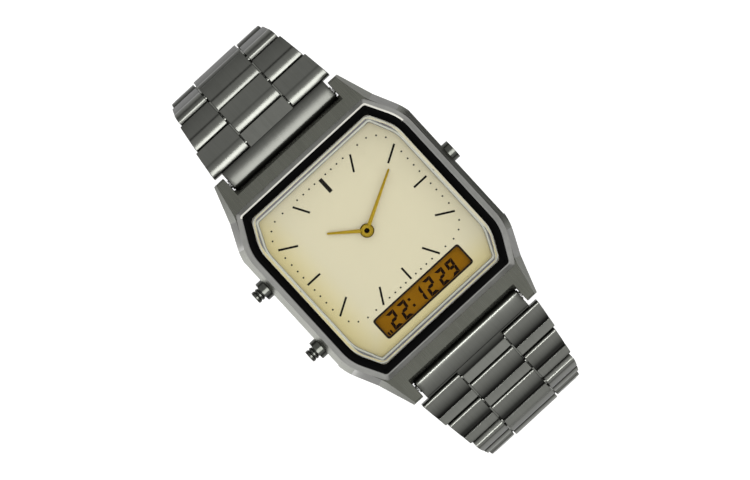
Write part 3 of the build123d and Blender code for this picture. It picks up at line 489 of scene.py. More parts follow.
def softLamp(name, look):
    data = bpy.data.lights.new(name, "AREA")
    data.shape = "RECTANGLE"
    data.size, data.size_y = look["sizeMm"][0] * mm, look["sizeMm"][1] * mm
    data.energy = look["watts"]
    lamp = bpy.data.objects.new(name, data)
    scene.collection.objects.link(lamp)
    lamp.location = Vector(look["place"]) * mm
    aim = Vector(look["aim"]) * mm - lamp.location
    lamp.rotation_euler = aim.to_track_quat("-Z", "Y").to_euler()
    lamp.visible_camera = False
    lamp.light_linking.receiver_collection = litPieces[look["lights"]]


def lightWith(piece, *groups):
    for group in groups:
        litPieces[group].objects.link(piece)


for name, look in studioLook["lamps"].items():
    softLamp(name, look)


def darkCard(look):
    # A dim glowing sheet on the paper at the 3 o'clock side, which only the metal's reflections show: it
    # paints a darker reflection on that side than the white paper gives
    (lowX, highX), half = (v * mm for v in look["acrossMm"]), look["lengthMm"] * mm / 2
    corners = [(lowX, -half, mm), (highX, -half, mm), (highX, half, mm), (lowX, half, mm)]
    card = meshObject("darkCard", corners, [(0, 1, 2, 3)], [])
    material, _, _ = newMaterial("dimReflectionSheet", {
        "Base Color": (0, 0, 0, 1), "Roughness": 1.0, "Specular IOR Level": 0.0,
        "Emission Color": (1, 1, 1, 1), "Emission Strength": look["glow"]})
    card.data.materials.append(material)
    for sight in ("camera", "diffuse", "transmission", "shadow"):
        setattr(card, f"visible_{sight}", False)


darkCard(studioLook["card"])

print("stage: light")

# Bracelet rows. Along each row u runs from its first pin towards the clasp, and w stands outwards.
bandMm = {
    "pitch": 4.3, "nose": 1.05, "under": 0.9, "noseGap": 0.1, "stripDrop": 0.06, "backEdge": 0.12,
    "sideGap": 0.2, "jointDrop": 0.45, "middleWidth": 7.5, "pinRadius": 0.4, "pinCover": 0.9, "edge": 0.1,
    "claspPin": 0.45, "shadeEase": 1.2, "lowShare": 0.8, "trim": 0.05,
    "noseSteps": 8, "backSteps": 4, "edgeSteps": 3, "pinSides": 24, "smoothDegrees": 32,
    "widths": (20.6, 19.016, 17.432, 15.914, 14.924, 14.33, 14.0, 14.0, 14.0, 14.0, 14.0, 14.0),
    "endWidth": 18.1, "endNose": 1.2, "endReach": 2.95,
}
# How the top of a row runs outwards from its front: a corner, a barrel as steep as tilt where it
# starts, a fall into the valley, a rise to the flat strip, and how much painted shade darkens the
# valley (dark, over darkRun), the crown and the strip; the two halves and the end links get different
# painted shade. farDark gives the painted shade of the outer crowns, the middle crown and the flats
# from the third row on, and the tongue's dark is the painted shade at its valley.
topMm = {
    "12": {"corner": 0.45, "barrel": 1.9, "tilt": 40, "level": 0.0, "bend": 1.2, "fall": 14, "rise": 0.3,
           "strip": 0.06, "dark": 0.55, "darkRun": 0.4, "crownDark": 0.32, "stripDark": 0.36,
           "farDark": {3: (0.32, 0.6, 0.85), 4: (0.7, 0.7, 0.85)}},
    "6": {"corner": 0.55, "barrel": 7.0, "tilt": 8, "level": 0.2, "bend": 2.8, "fall": 24, "rise": 0.14,
          "strip": 0.06, "dark": 0.98, "darkRun": 2.0, "crownDark": 0.24, "stripDark": 0.0},
    "end12": {"corner": 0.9, "barrel": 6.0, "tilt": 18, "level": 0.0, "bend": 1.0, "fall": 25, "rise": 0.2,
              "strip": 0.21, "dark": 0.6, "darkRun": 0.5, "crownDark": 0.6, "stripDark": 0.36},
    "end6": {"corner": 0.9, "barrel": 7.0, "tilt": 10, "level": 0.0, "bend": 4.0, "fall": 11, "rise": 0.2,
             "strip": 0.21, "dark": 0.6, "darkRun": 1.6, "crownDark": 0.24, "stripDark": 0.6},
    "endTongue": {"valley": 2.68, "depth": 0.1, "rise": 0.14, "dark": 0.97, "steps": 6},
}
rowFront = bandMm["nose"] + bandMm["noseGap"]
shortEnd, longEnd = bandMm["pitch"] - rowFront, bandMm["pitch"] + bandMm["nose"]
stripTop = bandMm["nose"] - bandMm["stripDrop"]
outerStart = bandMm["middleWidth"] / 2 + bandMm["sideGap"]


def arc(centre, radius, startDegrees, sweepDegrees, steps):
    angles = [radians(startDegrees + sweepDegrees * k / steps) for k in range(steps + 1)]
    return [(centre[0] + radius * cos(a), centre[1] + radius * sin(a)) for a in angles]


def barrelTop(front, crown, look, steps=8):
    # The top of a row from its front corner to the start of the flat strip, as (u, w) places
    corner, barrel, bend, level, rise = (look[key] for key in ("corner", "barrel", "bend", "level", "rise"))
    tilt, fall, cornerU = radians(look["tilt"]), radians(look["fall"]), front + corner
    top = cornerU + (barrel - corner) * sin(tilt)
    points = arc((cornerU, crown - barrel + (barrel - corner) * cos(tilt)), corner,
                 90 + look["tilt"], 90 - look["tilt"], steps)[::-1]
    points += arc((top, crown - barrel), barrel, 90, look["tilt"], steps)[-2::-1]
    if level:
        points.append((top + level, crown))
    points += arc((top + level, crown - bend), bend, 90, -look["fall"], steps)[1:]
    u, w = points[-1]
    for s in (k / steps for k in range(1, steps + 1)):
        points.append((u + rise * s, w - rise * sin(fall) / cos(fall) * (s**3 - 2 * s**2 + s)
                       + (crown - look["strip"] - w) * (3 * s**2 - 2 * s**3)))
    return points


def lowAngle(nose):
    # How far round a nose goes, in degrees below its middle, until it meets the flat underside
    return degrees(atan2(bandMm["under"], sqrt(nose**2 - bandMm["under"]**2)))


def rowProfile(half, front, back, nosedFront, nosedBack):
    # The side view of one column of a row; a nose is the round end that a pin runs through
    nose, under, steps = bandMm["nose"], bandMm["under"], bandMm["noseSteps"]
    top = barrelTop(front, nose, topMm[half])
    edge, strip = bandMm["backEdge"], top[-1][1]
    if nosedFront:
        points = arc((front + nose, 0), nose, 180, lowAngle(nose), steps)[::-1] + top
    else:
        points = [(front, -under)] + top
    points = [p for p in points if p[0] < back - 2 * edge]
    points += arc((back - edge, strip - edge), edge, 0, 90, bandMm["backSteps"])[::-1]
    if nosedBack:
        points += arc((back - nose, 0), nose, 0, -lowAngle(nose), steps)
    else:
        points.append((back, -under))
    return points


def valleyShades(profile, look, front):
    # Painted shade: the colour darkens slowly down the crown and clears quickly up the rise
    end = barrelTop(front, 1.0, look)[-1][0]
    low = end - look["rise"] * bandMm["lowShare"]
    shades = []
    for u, _ in profile:
        if u <= low:
            run = min(max((u - low) / look["darkRun"] + 1, 0.0), 1.0)**bandMm["shadeEase"]
            shades.append(look["crownDark"] + (look["dark"] - look["crownDark"]) * run)
        else:
            run = min((u - low) / look["rise"], 1.0)
            shades.append(look["dark"] + (look["stripDark"] - look["dark"]) * run)
    return shades


def chainPlace(side, pin, slope):
    # Turns (u, x, w) in millimetres on a row into a place in the frame
    along = Vector((0, side * cos(slope), -sin(slope)))
    out = Vector((0, side * sin(slope), cos(slope)))
    return lambda u, x, w: pin + (along * u + out * w) * mm + Vector((x * mm, 0, 0))


def columnSolid(vertices, faces, profile, lowX, highX, put, edge=0.0, shades=None, paintedShade=None):
    # One column: its side view carried from one side to the other, which may taper, with rounded edges
    first, count = len(vertices), len(profile)
    steps = bandMm["edgeSteps"]
    turns = [radians(90 * k / steps) for k in range(steps + 1)] if edge else [pi / 2]
    stations = [(lowX, 1, a) for a in turns] + [(highX, -1, a) for a in reversed(turns)]
    for side, inwards, a in stations:
        view = insetCorners(profile, -edge * (1 - sin(a)))
        vertices += [put(u, side(u) + inwards * edge * (1 - cos(a)), w) for u, w in view]
        if paintedShade is not None:
            paintedShade += shades or [0.0] * count
    faces += skinFaces(count, len(stations), first, capped=False)
    last = first + (len(stations) - 1) * count
    faces += [tuple(range(first, first + count)), tuple(range(last + count - 1, last - 1, -1))]


def pinSolid(vertices, faces, u, half, put, radius, paintedShade):
    angles = [2 * pi * k / bandMm["pinSides"] for k in range(bandMm["pinSides"])]
    circle = [(u - radius * cos(a), radius * sin(a)) for a in angles]
    columnSolid(vertices, faces, circle, lambda _: -half, lambda _: half, put, paintedShade=paintedShade)


def seatRow(name, half, vertices, faces, paintedShade):
    node = name.replace("row", "link", 1)
    piece = meshObject(name, vertices, faces, [rowGunmetal], paintedShade, bandMm["smoothDegrees"])
    seatPiece(piece, node, "band_steel", [node])
    lightWith(piece, "rows" + half)


def buildRows():
    widths, edge, nose = (bandMm[key] for key in ("widths", "edge", "nose"))
    middleHalf = bandMm["middleWidth"] / 2
    for half, side in (("12", 1), ("6", -1)):
        pins = chainPins(half)
        for row in range(1, len(pins) - 1):
            here, after = pins[row], pins[row + 1]
            slope = atan2(here.z - after.z, side * (after.y - here.y))
            put = chainPlace(side, here, slope)
            width, nextWidth = widths[row - 1], widths[row]
            last = row == len(pins) - 2
            middleBack = shortEnd if last and half == "6" else longEnd
            outer = rowProfile(half, -nose, longEnd if last else shortEnd, True, last)
            inner = rowProfile(half, rowFront, middleBack, False, middleBack == longEnd)
            look = topMm[half]
            # the painted shade of the outer crowns, the middle crown and the flats; farDark paints the far
            # rows darker
            near = (look["crownDark"], look["crownDark"], look["stripDark"])
            outerCrown, innerCrown, flat = look.get("farDark", {}).get(min(row, 4), near)
            outerShades = valleyShades(outer, {**look, "crownDark": outerCrown, "stripDark": flat}, -nose)
            innerShades = valleyShades(inner, {**look, "crownDark": innerCrown, "stripDark": flat}, rowFront)
            vertices, faces, paintedShade = [], [], []

            def sideEdge(sign):
                return lambda u: sign / 2 * (width + (nextWidth - width) * (u + nose) / (longEnd + nose))
            for low, high, profile, shades in (
                (lambda _: outerStart, sideEdge(1), outer, outerShades),
                (sideEdge(-1), lambda _: -outerStart, outer, outerShades),
                (lambda _: -middleHalf, lambda _: middleHalf, inner, innerShades),
            ):
                columnSolid(vertices, faces, profile, low, high, put, edge, shades, paintedShade)
            joint = [(rowFront, -bandMm["under"]), (rowFront, nose - bandMm["jointDrop"]),
                     (shortEnd, nose - bandMm["jointDrop"]), (shortEnd, -bandMm["under"])]
            inset = bandMm["sideGap"] / 4
            for sign in (-1, 1):
                low, high = sorted((sign * (middleHalf - inset), sign * (outerStart + inset)))
                columnSolid(vertices, faces, joint, lambda _: low, lambda _: high, put, paintedShade=paintedShade)
            if half == "6" or not last:
                radius = bandMm["claspPin" if last else "pinRadius"]
                pinHalf = nextWidth / 2 - bandMm["pinCover"]
                pinSolid(vertices, faces, bandMm["pitch"], pinHalf, put, radius, paintedShade)
            seatRow(f"row_{half}_{row}", half, vertices, faces, paintedShade)


def buildEndLinks():
    nose, reach, under = bandMm["endNose"], bandMm["endReach"], bandMm["under"]
    backNose, steps, wideBack = bandMm["nose"], bandMm["noseSteps"], reach - rowFront
    wideHalf, middleHalf = bandMm["endWidth"] / 2, bandMm["middleWidth"] / 2
    for half, side in (("12", 1), ("6", -1)):
        pins = chainPins(half)
        slope = atan2(pins[0].z - pins[1].z, side * (pins[1].y - pins[0].y))
        put = chainPlace(side, pins[0], slope)
        look = topMm["end" + half]
        top = [p for p in barrelTop(-nose, nose, look) if p[0] < wideBack - bandMm["trim"]]
        body = arc((0, 0), nose, 180, lowAngle(nose), steps)[::-1] + top
        body += [(wideBack, stripTop), (wideBack, -under)]
        tongue, tongueShades = [(wideBack, -under), (wideBack, stripTop)], [look["stripDark"]] * 2
        if half == "6":
            # the crown of the 6 side runs on down the tongue to its own valley, where the painted shade
            # deepens
            dip = topMm["endTongue"]
            for share in (k / dip["steps"] for k in range(1, dip["steps"] + 1)):
                tongue.append((wideBack + (dip["valley"] - wideBack) * share,
                               stripTop - dip["depth"] * share**2))
                tongueShades.append(look["stripDark"] + (dip["dark"] - look["stripDark"]) * share)
            tongue.append((dip["valley"] + dip["rise"], stripTop))
            tongueShades.append(0.0)
        tongue.append((reach + backNose, stripTop))
        tongue += arc((reach, 0), backNose, 0, -lowAngle(backNose), steps)
        last = 0.0 if half == "6" else look["stripDark"]
        tongueShades += [last] * (len(tongue) - len(tongueShades))
        vertices, faces, paintedShade = [], [], []
        columnSolid(vertices, faces, body, lambda _: -wideHalf, lambda _: wideHalf, put, bandMm["edge"],
                    valleyShades(body, look, -nose), paintedShade)
        columnSolid(vertices, faces, tongue, lambda _: -middleHalf, lambda _: middleHalf, put,
                    shades=tongueShades, paintedShade=paintedShade)
        pinSolid(vertices, faces, reach, bandMm["widths"][0] / 2 - bandMm["pinCover"], put,
                 bandMm["pinRadius"], paintedShade)
        seatRow(f"end_row_{half}", half, vertices, faces, paintedShade)


buildRows()
buildEndLinks()
print("stage: bracelet")


# Case: brushed plates on top, polished slopes, facets and walls. Heights are above the case back.
caseMm = {
    "outline": ((14.9, 9.8), (12.7, 14.4), (10.6, 20.46)), "sideRound": 8.0, "endRound": 0.5,
    "layers": ((0.8, 0.5), (2.0, 0.0), (4.9, 0.0), (7.05, 0.95)),
    "opening": (13.2, 14.0, 10.85, 9.6, 6.3), "dialWindow": (11.45, 12.0, 9.8, 8.4, 4.5),
    "seat": 6.3, "shoulder": 7.05, "top": 8.0, "gasketWidth": 0.8,
    "innerRound": 0.3, "cornerRound": 1.0, "edge": 0.07, "sharpDegrees": 18, "edgeDegrees": 24,
    "lugInnerX": 9.35, "recessY": 16.5, "ledgeY": 17.4, "ledgeTop": 1.5,
    "lugUnder": ((14.0, 0.8), (18.2, 1.3), (19.45, 2.3)), "lugEndY": 19.45, "lugTop": 5.7, "lugEdge": 0.5,
    "lugKnee": 14.8, "flank": (-8.9, 10.6), "flankStep": 0.16, "flankOut": 16,
    "flankWall": ((14.9, 1.6), (14.9, 4.9), (13.93, 7.1)),
    "facetX": 11, "facetY": (10.6, 14.4), "steepest": 0.9,
}
# How far the shapes that cut the case reach
cutMm = {"below": -1, "above": 9, "beyond": 2, "half": 17}


def roundedLoop(corners, radii, steps=6):
    # A closed outline with each corner rounded; the number of points doesn't depend on the sizes
    points, count = [], len(corners)
    for k in range(count):
        corner, radius = Vector(corners[k]), radii[k]
        toLast = (Vector(corners[k - 1]) - corner).normalized()
        toNext = (Vector(corners[(k + 1) % count]) - corner).normalized()
        halfAngle = toLast.angle(toNext) / 2
        run = radius / max(sin(halfAngle) / cos(halfAngle), 0.001)
        start, finish = corner + toLast * run, corner + toNext * run
        centre = corner + (toLast + toNext).normalized() * (radius / sin(halfAngle))
        a0 = atan2(start.y - centre.y, start.x - centre.x)
        sweep = (atan2(finish.y - centre.y, finish.x - centre.x) - a0 + pi) % (2 * pi) - pi
        angles = [a0 + sweep * i / steps for i in range(steps + 1)]
        points += [(centre.x + radius * cos(a), centre.y + radius * sin(a)) for a in angles]
    return points


def octagonLoop(size, inset=0.0):
    w, h, x, y, rounding = size
    corners = insetCorners([(w, -y), (w, y), (x, h), (-x, h), (-w, y), (-w, -y), (-x, -h), (x, -h)], inset)
    side, end = rounding - inset, caseMm["endRound"] + max(inset, 0) * caseMm["innerRound"]
    return roundedLoop(corners, [side, side, end, end, side, side, end, end])


def sweptRing(loops, closed=True):
    # Skin through outlines at their heights, in millimetres; closed joins the last to the first
    count, last = len(loops[0][0]), (len(loops) - 1) * len(loops[0][0])
    vertices = [(x * mm, y * mm, caseBackZ + h * mm) for outline, h in loops for x, y in outline]
    faces = skinFaces(count, len(loops), capped=not closed)
    if closed:
        faces += [(last + k, last + (k + 1) % count, (k + 1) % count, k) for k in range(count)]
    return vertices, faces


def extrudedAlongX(outline, half):
    vertices = [(x * mm, y * mm, caseBackZ + h * mm) for x in (-half, half) for y, h in outline]
    return vertices, skinFaces(len(outline), 2)


def combine(piece, others):
    # Boolean steps in order, applied to the mesh
    for other, operation in others:
        step = piece.modifiers.new(operation, "BOOLEAN")
        step.object, step.operation, step.solver = other, operation, "EXACT"
    bpy.context.view_layer.update()
    shape = bpy.data.meshes.new_from_object(piece.evaluated_get(bpy.context.evaluated_depsgraph_get()))
    piece.modifiers.clear()
    piece.data = shape
    for other, _ in others:
        bpy.data.objects.remove(other)


def lugTip():
    # The rounded upper edge of the lugs, between their end and their sloping top
    endY, top, radius = caseMm["lugEndY"], caseMm["lugTop"], caseMm["lugEdge"]
    slope = degrees(atan2(caseMm["shoulder"] - top, endY - caseMm["lugKnee"]))
    run = radius * sin(radians((90 - slope) / 2)) / cos(radians((90 - slope) / 2))
    return arc((endY - radius, top - run), radius, 0, 90 - slope, steps=6)


def buildCaseBody():
    corners = caseMm["outline"]
    oneSide = [(x, -y) for x, y in reversed(corners)] + list(corners)
    outline = oneSide + [(-x, -y) for x, y in oneSide]
    rounds = [caseMm[key] for key in ("endRound", "cornerRound", "sideRound")]
    radii = (rounds + rounds[::-1]) * 2
    loops = [(roundedLoop(insetCorners(outline, inset), radii), h) for h, inset in caseMm["layers"]]
    body = meshObject("case_body", *sweptRing(loops, closed=False), [brushedGunmetal, polishedGunmetal])
    lug = [*caseMm["lugUnder"], *lugTip(), (caseMm["lugKnee"], caseMm["shoulder"])]
    view = lug + [(-y, h) for y, h in reversed(lug)]
    cutters = [(meshObject("sideView", *extrudedAlongX(view, cutMm["half"]), []), "INTERSECT")]
    far, above = caseMm["lugEndY"] + cutMm["beyond"], cutMm["above"]
    wall = [(x - caseMm["flankStep"], h) for x, h in caseMm["flankWall"]]
    wall += [(caseMm["flankOut"], wall[-1][1]), (caseMm["flankOut"], wall[0][1])]
    for sign in (-1, 1):
        for start, bottom in ((caseMm["recessY"], caseMm["ledgeTop"]), (caseMm["ledgeY"], cutMm["below"])):
            lowY, highY = sorted((sign * start, sign * far))
            slot = [(lowY, bottom), (highY, bottom), (highY, above), (lowY, above)]
            solid = extrudedAlongX(slot, caseMm["lugInnerX"])
            cutters.append((meshObject("recess", *solid, []), "DIFFERENCE"))
        vertices = [(sign * x * mm, y * mm, caseBackZ + h * mm) for y in caseMm["flank"] for x, h in wall]
        cutters.append((meshObject("flank", vertices, skinFaces(len(wall), 2), []), "DIFFERENCE"))
    for inset, *heights in ((0, caseMm["seat"], above), (caseMm["gasketWidth"], 0, caseMm["top"])):
        loop = octagonLoop(caseMm["opening"], inset)
        solid = sweptRing([(loop, h) for h in heights], closed=False)
        cutters.append((meshObject("cavity", *solid, []), "DIFFERENCE"))
    combine(body, cutters)
    (lowY, highY), steepest = caseMm["facetY"], caseMm["steepest"]
    for polygon in body.data.polygons:
        # the corner facets are polished; the plates, the lugs' sides and the flanks are brushed
        x, y = (abs(polygon.center[k]) / mm for k in (0, 1))
        facet = abs(polygon.normal.z) < steepest and lowY < y < highY and x > caseMm["facetX"]
        polygon.material_index = 1 if facet else 0
    body.data.shade_smooth()
    body.data.set_sharp_from_angle(angle=radians(caseMm["sharpDegrees"]))
    roundEdges(body, caseMm["edge"], segments=2, angle=caseMm["edgeDegrees"])
    lightWith(body, "caseMetal", "flanks")
    seatPiece(body, "case", "case_steel", ["case_middle"])


# The rings of the case: each place in their section is an inset from the opening, or from the dial's
# window, and a height above the case back
ringMm = {
    "bezel": {"opening": ((-0.8, 6.75), (-0.8, 7.05), (-0.24, 7.88), (-0.2, 7.96), (-0.06, 8.0), (0, 7.95),
                          (0, 6.75))},
    "gasket_ring": {"opening": ((0, 6.3), (0, 7.8), (0.06, 7.88), (0.14, 7.9), (0.98, 7.9), (1.08, 7.82),
                                (1.08, 7.6), (0.8, 7.56), (0.8, 6.3))},
    "crystal_plate": {"opening": ((0.8, 6.5), (0.8, 7.54), (1.08, 7.58), (1.1, 7.7), (1.46, 8.08),
                                  (1.54, 8.1))},
    "silver_ring": {"opening": ((0.85, 5.0), (0.85, 6.44), (0.9, 6.5), (1.25, 6.5)),
                    "dialWindow": ((-0.3, 6.25), (-0.2, 6.15), (-0.06, 6.1), (0, 6.0), (0, 5.0))},
    # where the painted highlight goes: the bezel's upper edge and the slope of the silver ring
    "bright": {"bezelOver": 7.9, "farY": 13.8, "rightY": 9.2, "slope": (6.09, 6.24)},
}


def isPaintedHighlight(name, x, y, height):
    # The bezel's upper edge gets a painted highlight: a bright line at its far corner and on the right of it
    bright = ringMm["bright"]
    if name == "silver_ring":
        return bright["slope"][0] < height < bright["slope"][1]
    return height > bright["bezelOver"] and (y > bright["farY"] or y > bright["rightY"] and x > 0)


def buildRings():
    for name, closed, materials, slotName, nodes, sharp in (
        ("bezel", True, [satinGunmetal, paintedHighlightRim], "case_steel", [], 30),
        ("gasket_ring", True, [glossBlack], "gasket_black", ["crystal_gasket"], 35),
        ("crystal_plate", False, [clearCrystal()], "crystal_glass", ["crystal"], 6),
        ("silver_ring", True, [satinSilver, paintedHighlightRim], "ring_silver", ["dial_ring"], 25),
    ):
        loops = [(octagonLoop(caseMm[size], inset), h) for size, section in ringMm[name].items()
                 for inset, h in section]
        piece = meshObject(name, *sweptRing(loops, closed), materials, smoothDegrees=sharp)
        if paintedHighlightRim in materials:
            for polygon in piece.data.polygons:
                x, y, z = polygon.center / mm
                polygon.material_index = 1 if isPaintedHighlight(name, x, y, z - caseBackZ / mm) else 0
        seatPiece(piece, "case", slotName, nodes)
        if name == "bezel":
            lightWith(piece, "caseMetal")


buildCaseBody()
buildRings()


def buildRemade():
    for name, node, body, slotName, material in (
        ("back_plate", "case_back", "case", "back_steel", satinSteel),
        ("back_screws", "case_back_screws", "case", "back_steel", turnedSteel),
        ("clasp_shell", "clasp_cover", "cover", "clasp_steel", satinSteel),
        ("fold_middle", "middle_blade", "middle_blade", "clasp_steel", satinSteel),
        ("fold_inner", "inner_blade", "inner_blade", "clasp_steel", satinSteel),
    ):
        seatPiece(remade(node, name, material), body, slotName, [node])


buildRemade()
print("stage: case")

# Dial: champagne plate with printed hour lines and minute dots
dialMm = {
    "printThickness": 0.015, "lineWidth": 0.28, "topLineWidth": 0.55, "dotRadius": 0.125, "dotSides": 12,
    "hourLines": {0: (6.93, 9.15), 1: (7.85, 10.25), 2: (9.26, 11.95), 3: (8.37, 10.6), 4: (9.13, 11.82),
                  5: (7.57, 10.03), 6: (6.67, 8.63)},
    "trackHalfWidth": 10.35, "trackTop": 9.15, "trackBottom": -8.5, "trackCorner": 3.0,
    "trackFarthest": 20.0,
}
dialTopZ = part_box("dial_plate")[1].z


def flatPrint(name, outlines, baseZ, thicknessMm, material):
    # Thin raised shapes: each outline is a list of places in millimetres from the hands' axis
    vertices, faces = [], []
    for outline in outlines:
        first, count = len(vertices), len(outline)
        for z in (baseZ, baseZ + thicknessMm * mm):
            vertices += [(handsAxis.x + x * mm, handsAxis.y + y * mm, z) for x, y in outline]
        faces += skinFaces(count, 2, first)
    return meshObject(name, vertices, faces, [material], smoothDegrees=20)


def ray(angleDegrees, reach, sideways=0.0):
    a = radians(angleDegrees)
    return (reach * sin(a) + sideways * cos(a), reach * cos(a) - sideways * sin(a))


def trackReach(angleDegrees):
    # How far along a ray the minute track lies: a rectangle with rounded corners
    halfHeight = (dialMm["trackTop"] - dialMm["trackBottom"]) / 2
    middleY = (dialMm["trackTop"] + dialMm["trackBottom"]) / 2
    corner = dialMm["trackCorner"]
    low, high, halvings = 0.0, dialMm["trackFarthest"], 40
    for _ in range(halvings):
        reach = (low + high) / 2
        x, y = ray(angleDegrees, reach)
        dx = max(abs(x) - dialMm["trackHalfWidth"] + corner, 0)
        dy = max(abs(y - middleY) - halfHeight + corner, 0)
        if hypot(dx, dy) < corner:
            low = reach
        else:
            high = reach
    return low


def buildDialPrint():
    lines, dots, radius = [], [], dialMm["dotRadius"]
    turns = [2 * pi * k / dialMm["dotSides"] for k in range(dialMm["dotSides"])]
    for minute in range(60):
        angle = 6 * minute
        if minute % 5 == 0:
            hour = minute // 5
            inner, outer = dialMm["hourLines"][min(hour, 12 - hour)]
            wide = (dialMm["topLineWidth"] if hour == 0 else dialMm["lineWidth"]) / 2
            lines.append([ray(angle, inner, -wide), ray(angle, outer, -wide), ray(angle, outer, wide),
                          ray(angle, inner, wide)])
        else:
            x, y = ray(angle, trackReach(angle))
            dots.append([(x + radius * cos(a), y + radius * sin(a)) for a in turns])
    for name, outlines in (("hour_lines", lines), ("minute_dots", dots)):
        piece = flatPrint(name, outlines, dialTopZ, dialMm["printThickness"], printInk)
        seatPiece(piece, "case", "dial_champagne")


buildDialPrint()
paint(["dial_plate"], champagneDial())
print("stage: dial")

# Digital display: amber filter, a dark border round the window and seven-segment digits
displayMm = {
    "windowHalfWidth": 7.6, "windowLow": -10.9, "windowHigh": -7.6, "corner": 0.4, "border": 0.26,
    "stroke": 0.4, "segmentGap": 0.02, "slantDegrees": 7, "thickness": 0.015,
    "large": (1.35, 2.34), "small": (1.25, 2.14), "baseline": -12.2,
    "digits": (("2", -6.1, "large"), ("2", -4.2, "large"), ("1", -1.5, "large"), ("2", 0.4, "large"),
               ("2", 2.45, "small"), ("9", 4.2, "small")),
    "colon": ((-2.25, 0.6), (-2.25, 1.6)), "colonDot": (0.36, 0.36),
    "marks": ((-7.15, 0.0), (-6.75, 0.0)), "markSize": (0.25, 0.5),
}
segmentsOf = {"1": "bc", "2": "abged", "9": "abcdfg"}


def roundedRectangle(lowX, lowY, highX, highY, corner, steps=6):
    points = []
    for cx, cy, start in ((highX - corner, highY - corner, 0), (lowX + corner, highY - corner, 90),
                          (lowX + corner, lowY + corner, 180), (highX - corner, lowY + corner, 270)):
        points += arc((cx, cy), corner, start, 90, steps)
    return points


def digitOutlines(digit, left, width, height):
    t, g, half = displayMm["stroke"], displayMm["segmentGap"], height / 2
    low = displayMm["baseline"]
    bars = {
        "a": [(g, height), (width - g, height), (width - t - g, height - t), (t + g, height - t)],
        "d": [(t + g, t), (width - t - g, t), (width - g, 0), (g, 0)],
        "g": [(g + t / 2, half), (g + t, half + t / 2), (width - g - t, half + t / 2),
              (width - g - t / 2, half), (width - g - t, half - t / 2), (g + t, half - t / 2)],
        "b": [(width, height - g), (width, half + g), (width - t / 2, half + g),
              (width - t, half + g + t / 2), (width - t, height - t - g)],
        "c": [(width, half - g), (width, g), (width - t, t + g), (width - t, half - g - t / 2),
              (width - t / 2, half - g)],
        "f": [(0, height - g), (t, height - t - g), (t, half + g + t / 2), (t / 2, half + g), (0, half + g)],
        "e": [(0, half - g), (t / 2, half - g), (t, half - g - t / 2), (t, t + g), (0, g)],
    }
    lean = sin(radians(displayMm["slantDegrees"]))
    return [[(left + x + y * lean, low + y) for x, y in bars[s]] for s in segmentsOf[digit]]


def buildDisplay():
    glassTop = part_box("display_glass")[1].z
    outlines = []
    for digit, left, size in displayMm["digits"]:
        outlines += digitOutlines(digit, left, *displayMm[size])
    for corners, size in (("colon", "colonDot"), ("marks", "markSize")):
        (wide, tall), base = displayMm[size], displayMm["baseline"]
        outlines += [[(x, base + y), (x + wide, base + y), (x + wide, base + y + tall), (x, base + y + tall)]
                     for x, y in displayMm[corners]]
    digits = flatPrint("display_digits", outlines, glassTop, displayMm["thickness"], displayInk)
    seatPiece(digits, "case", "display_amber")
    w, b = displayMm["windowHalfWidth"], displayMm["border"]
    low, high = (displayMm[key] - handsAxis.y / mm for key in ("windowLow", "windowHigh"))
    outside = roundedRectangle(-w, low, w, high, displayMm["corner"])
    inside = roundedRectangle(-w + b, low + b, w - b, high - b, displayMm["corner"] - b / 2)
    vertices, faces, count = [], [], len(outside)
    for z in (glassTop, dialTopZ + displayMm["thickness"] * mm):
        for ring in (outside, inside):
            vertices += [(handsAxis.x + x * mm, handsAxis.y + y * mm, z) for x, y in ring]
    for k in range(count):
        n = (k + 1) % count
        faces += [(k, n, 2 * count + n, 2 * count + k), (count + n, count + k, 3 * count + k, 3 * count + n),
                  (2 * count + k, 2 * count + n, 3 * count + n, 3 * count + k), (n, k, count + k, count + n)]
    border = meshObject("display_border", vertices, faces, [displayBorder])
    seatPiece(border, "case", "module_plastic")


buildDisplay()
paint(["display_glass"], amberFilter)
print("stage: display")

# Hands: thin gilt brass with a raised spine, each on a turned hub
handsMm = {
    "minute": {"node": "minute_hand", "length": 8.6, "angle": 62, "bore": 0.3},
    "hour": {"node": "hour_hand", "length": 5.3, "angle": 308, "bore": 0.62},
    "rootWidth": 0.52, "tipWidth": 0.3, "point": 0.5, "spine": 0.09, "overlap": 0.05,
    "hubRadius": 0.85, "hubFoot": 0.03, "hubEdge": (0.06, 0.05), "hubMouth": (0.1, 0.04),
}


def lathe(profile, steps=48):
    # Rings of a profile of (radius, height), turned about Z at the origin, in millimetres
    vertices = [(r * cos(2 * pi * k / steps), r * sin(2 * pi * k / steps), h)
                for r, h in profile for k in range(steps)]
    return vertices, skinFaces(steps, len(profile), capped=False)


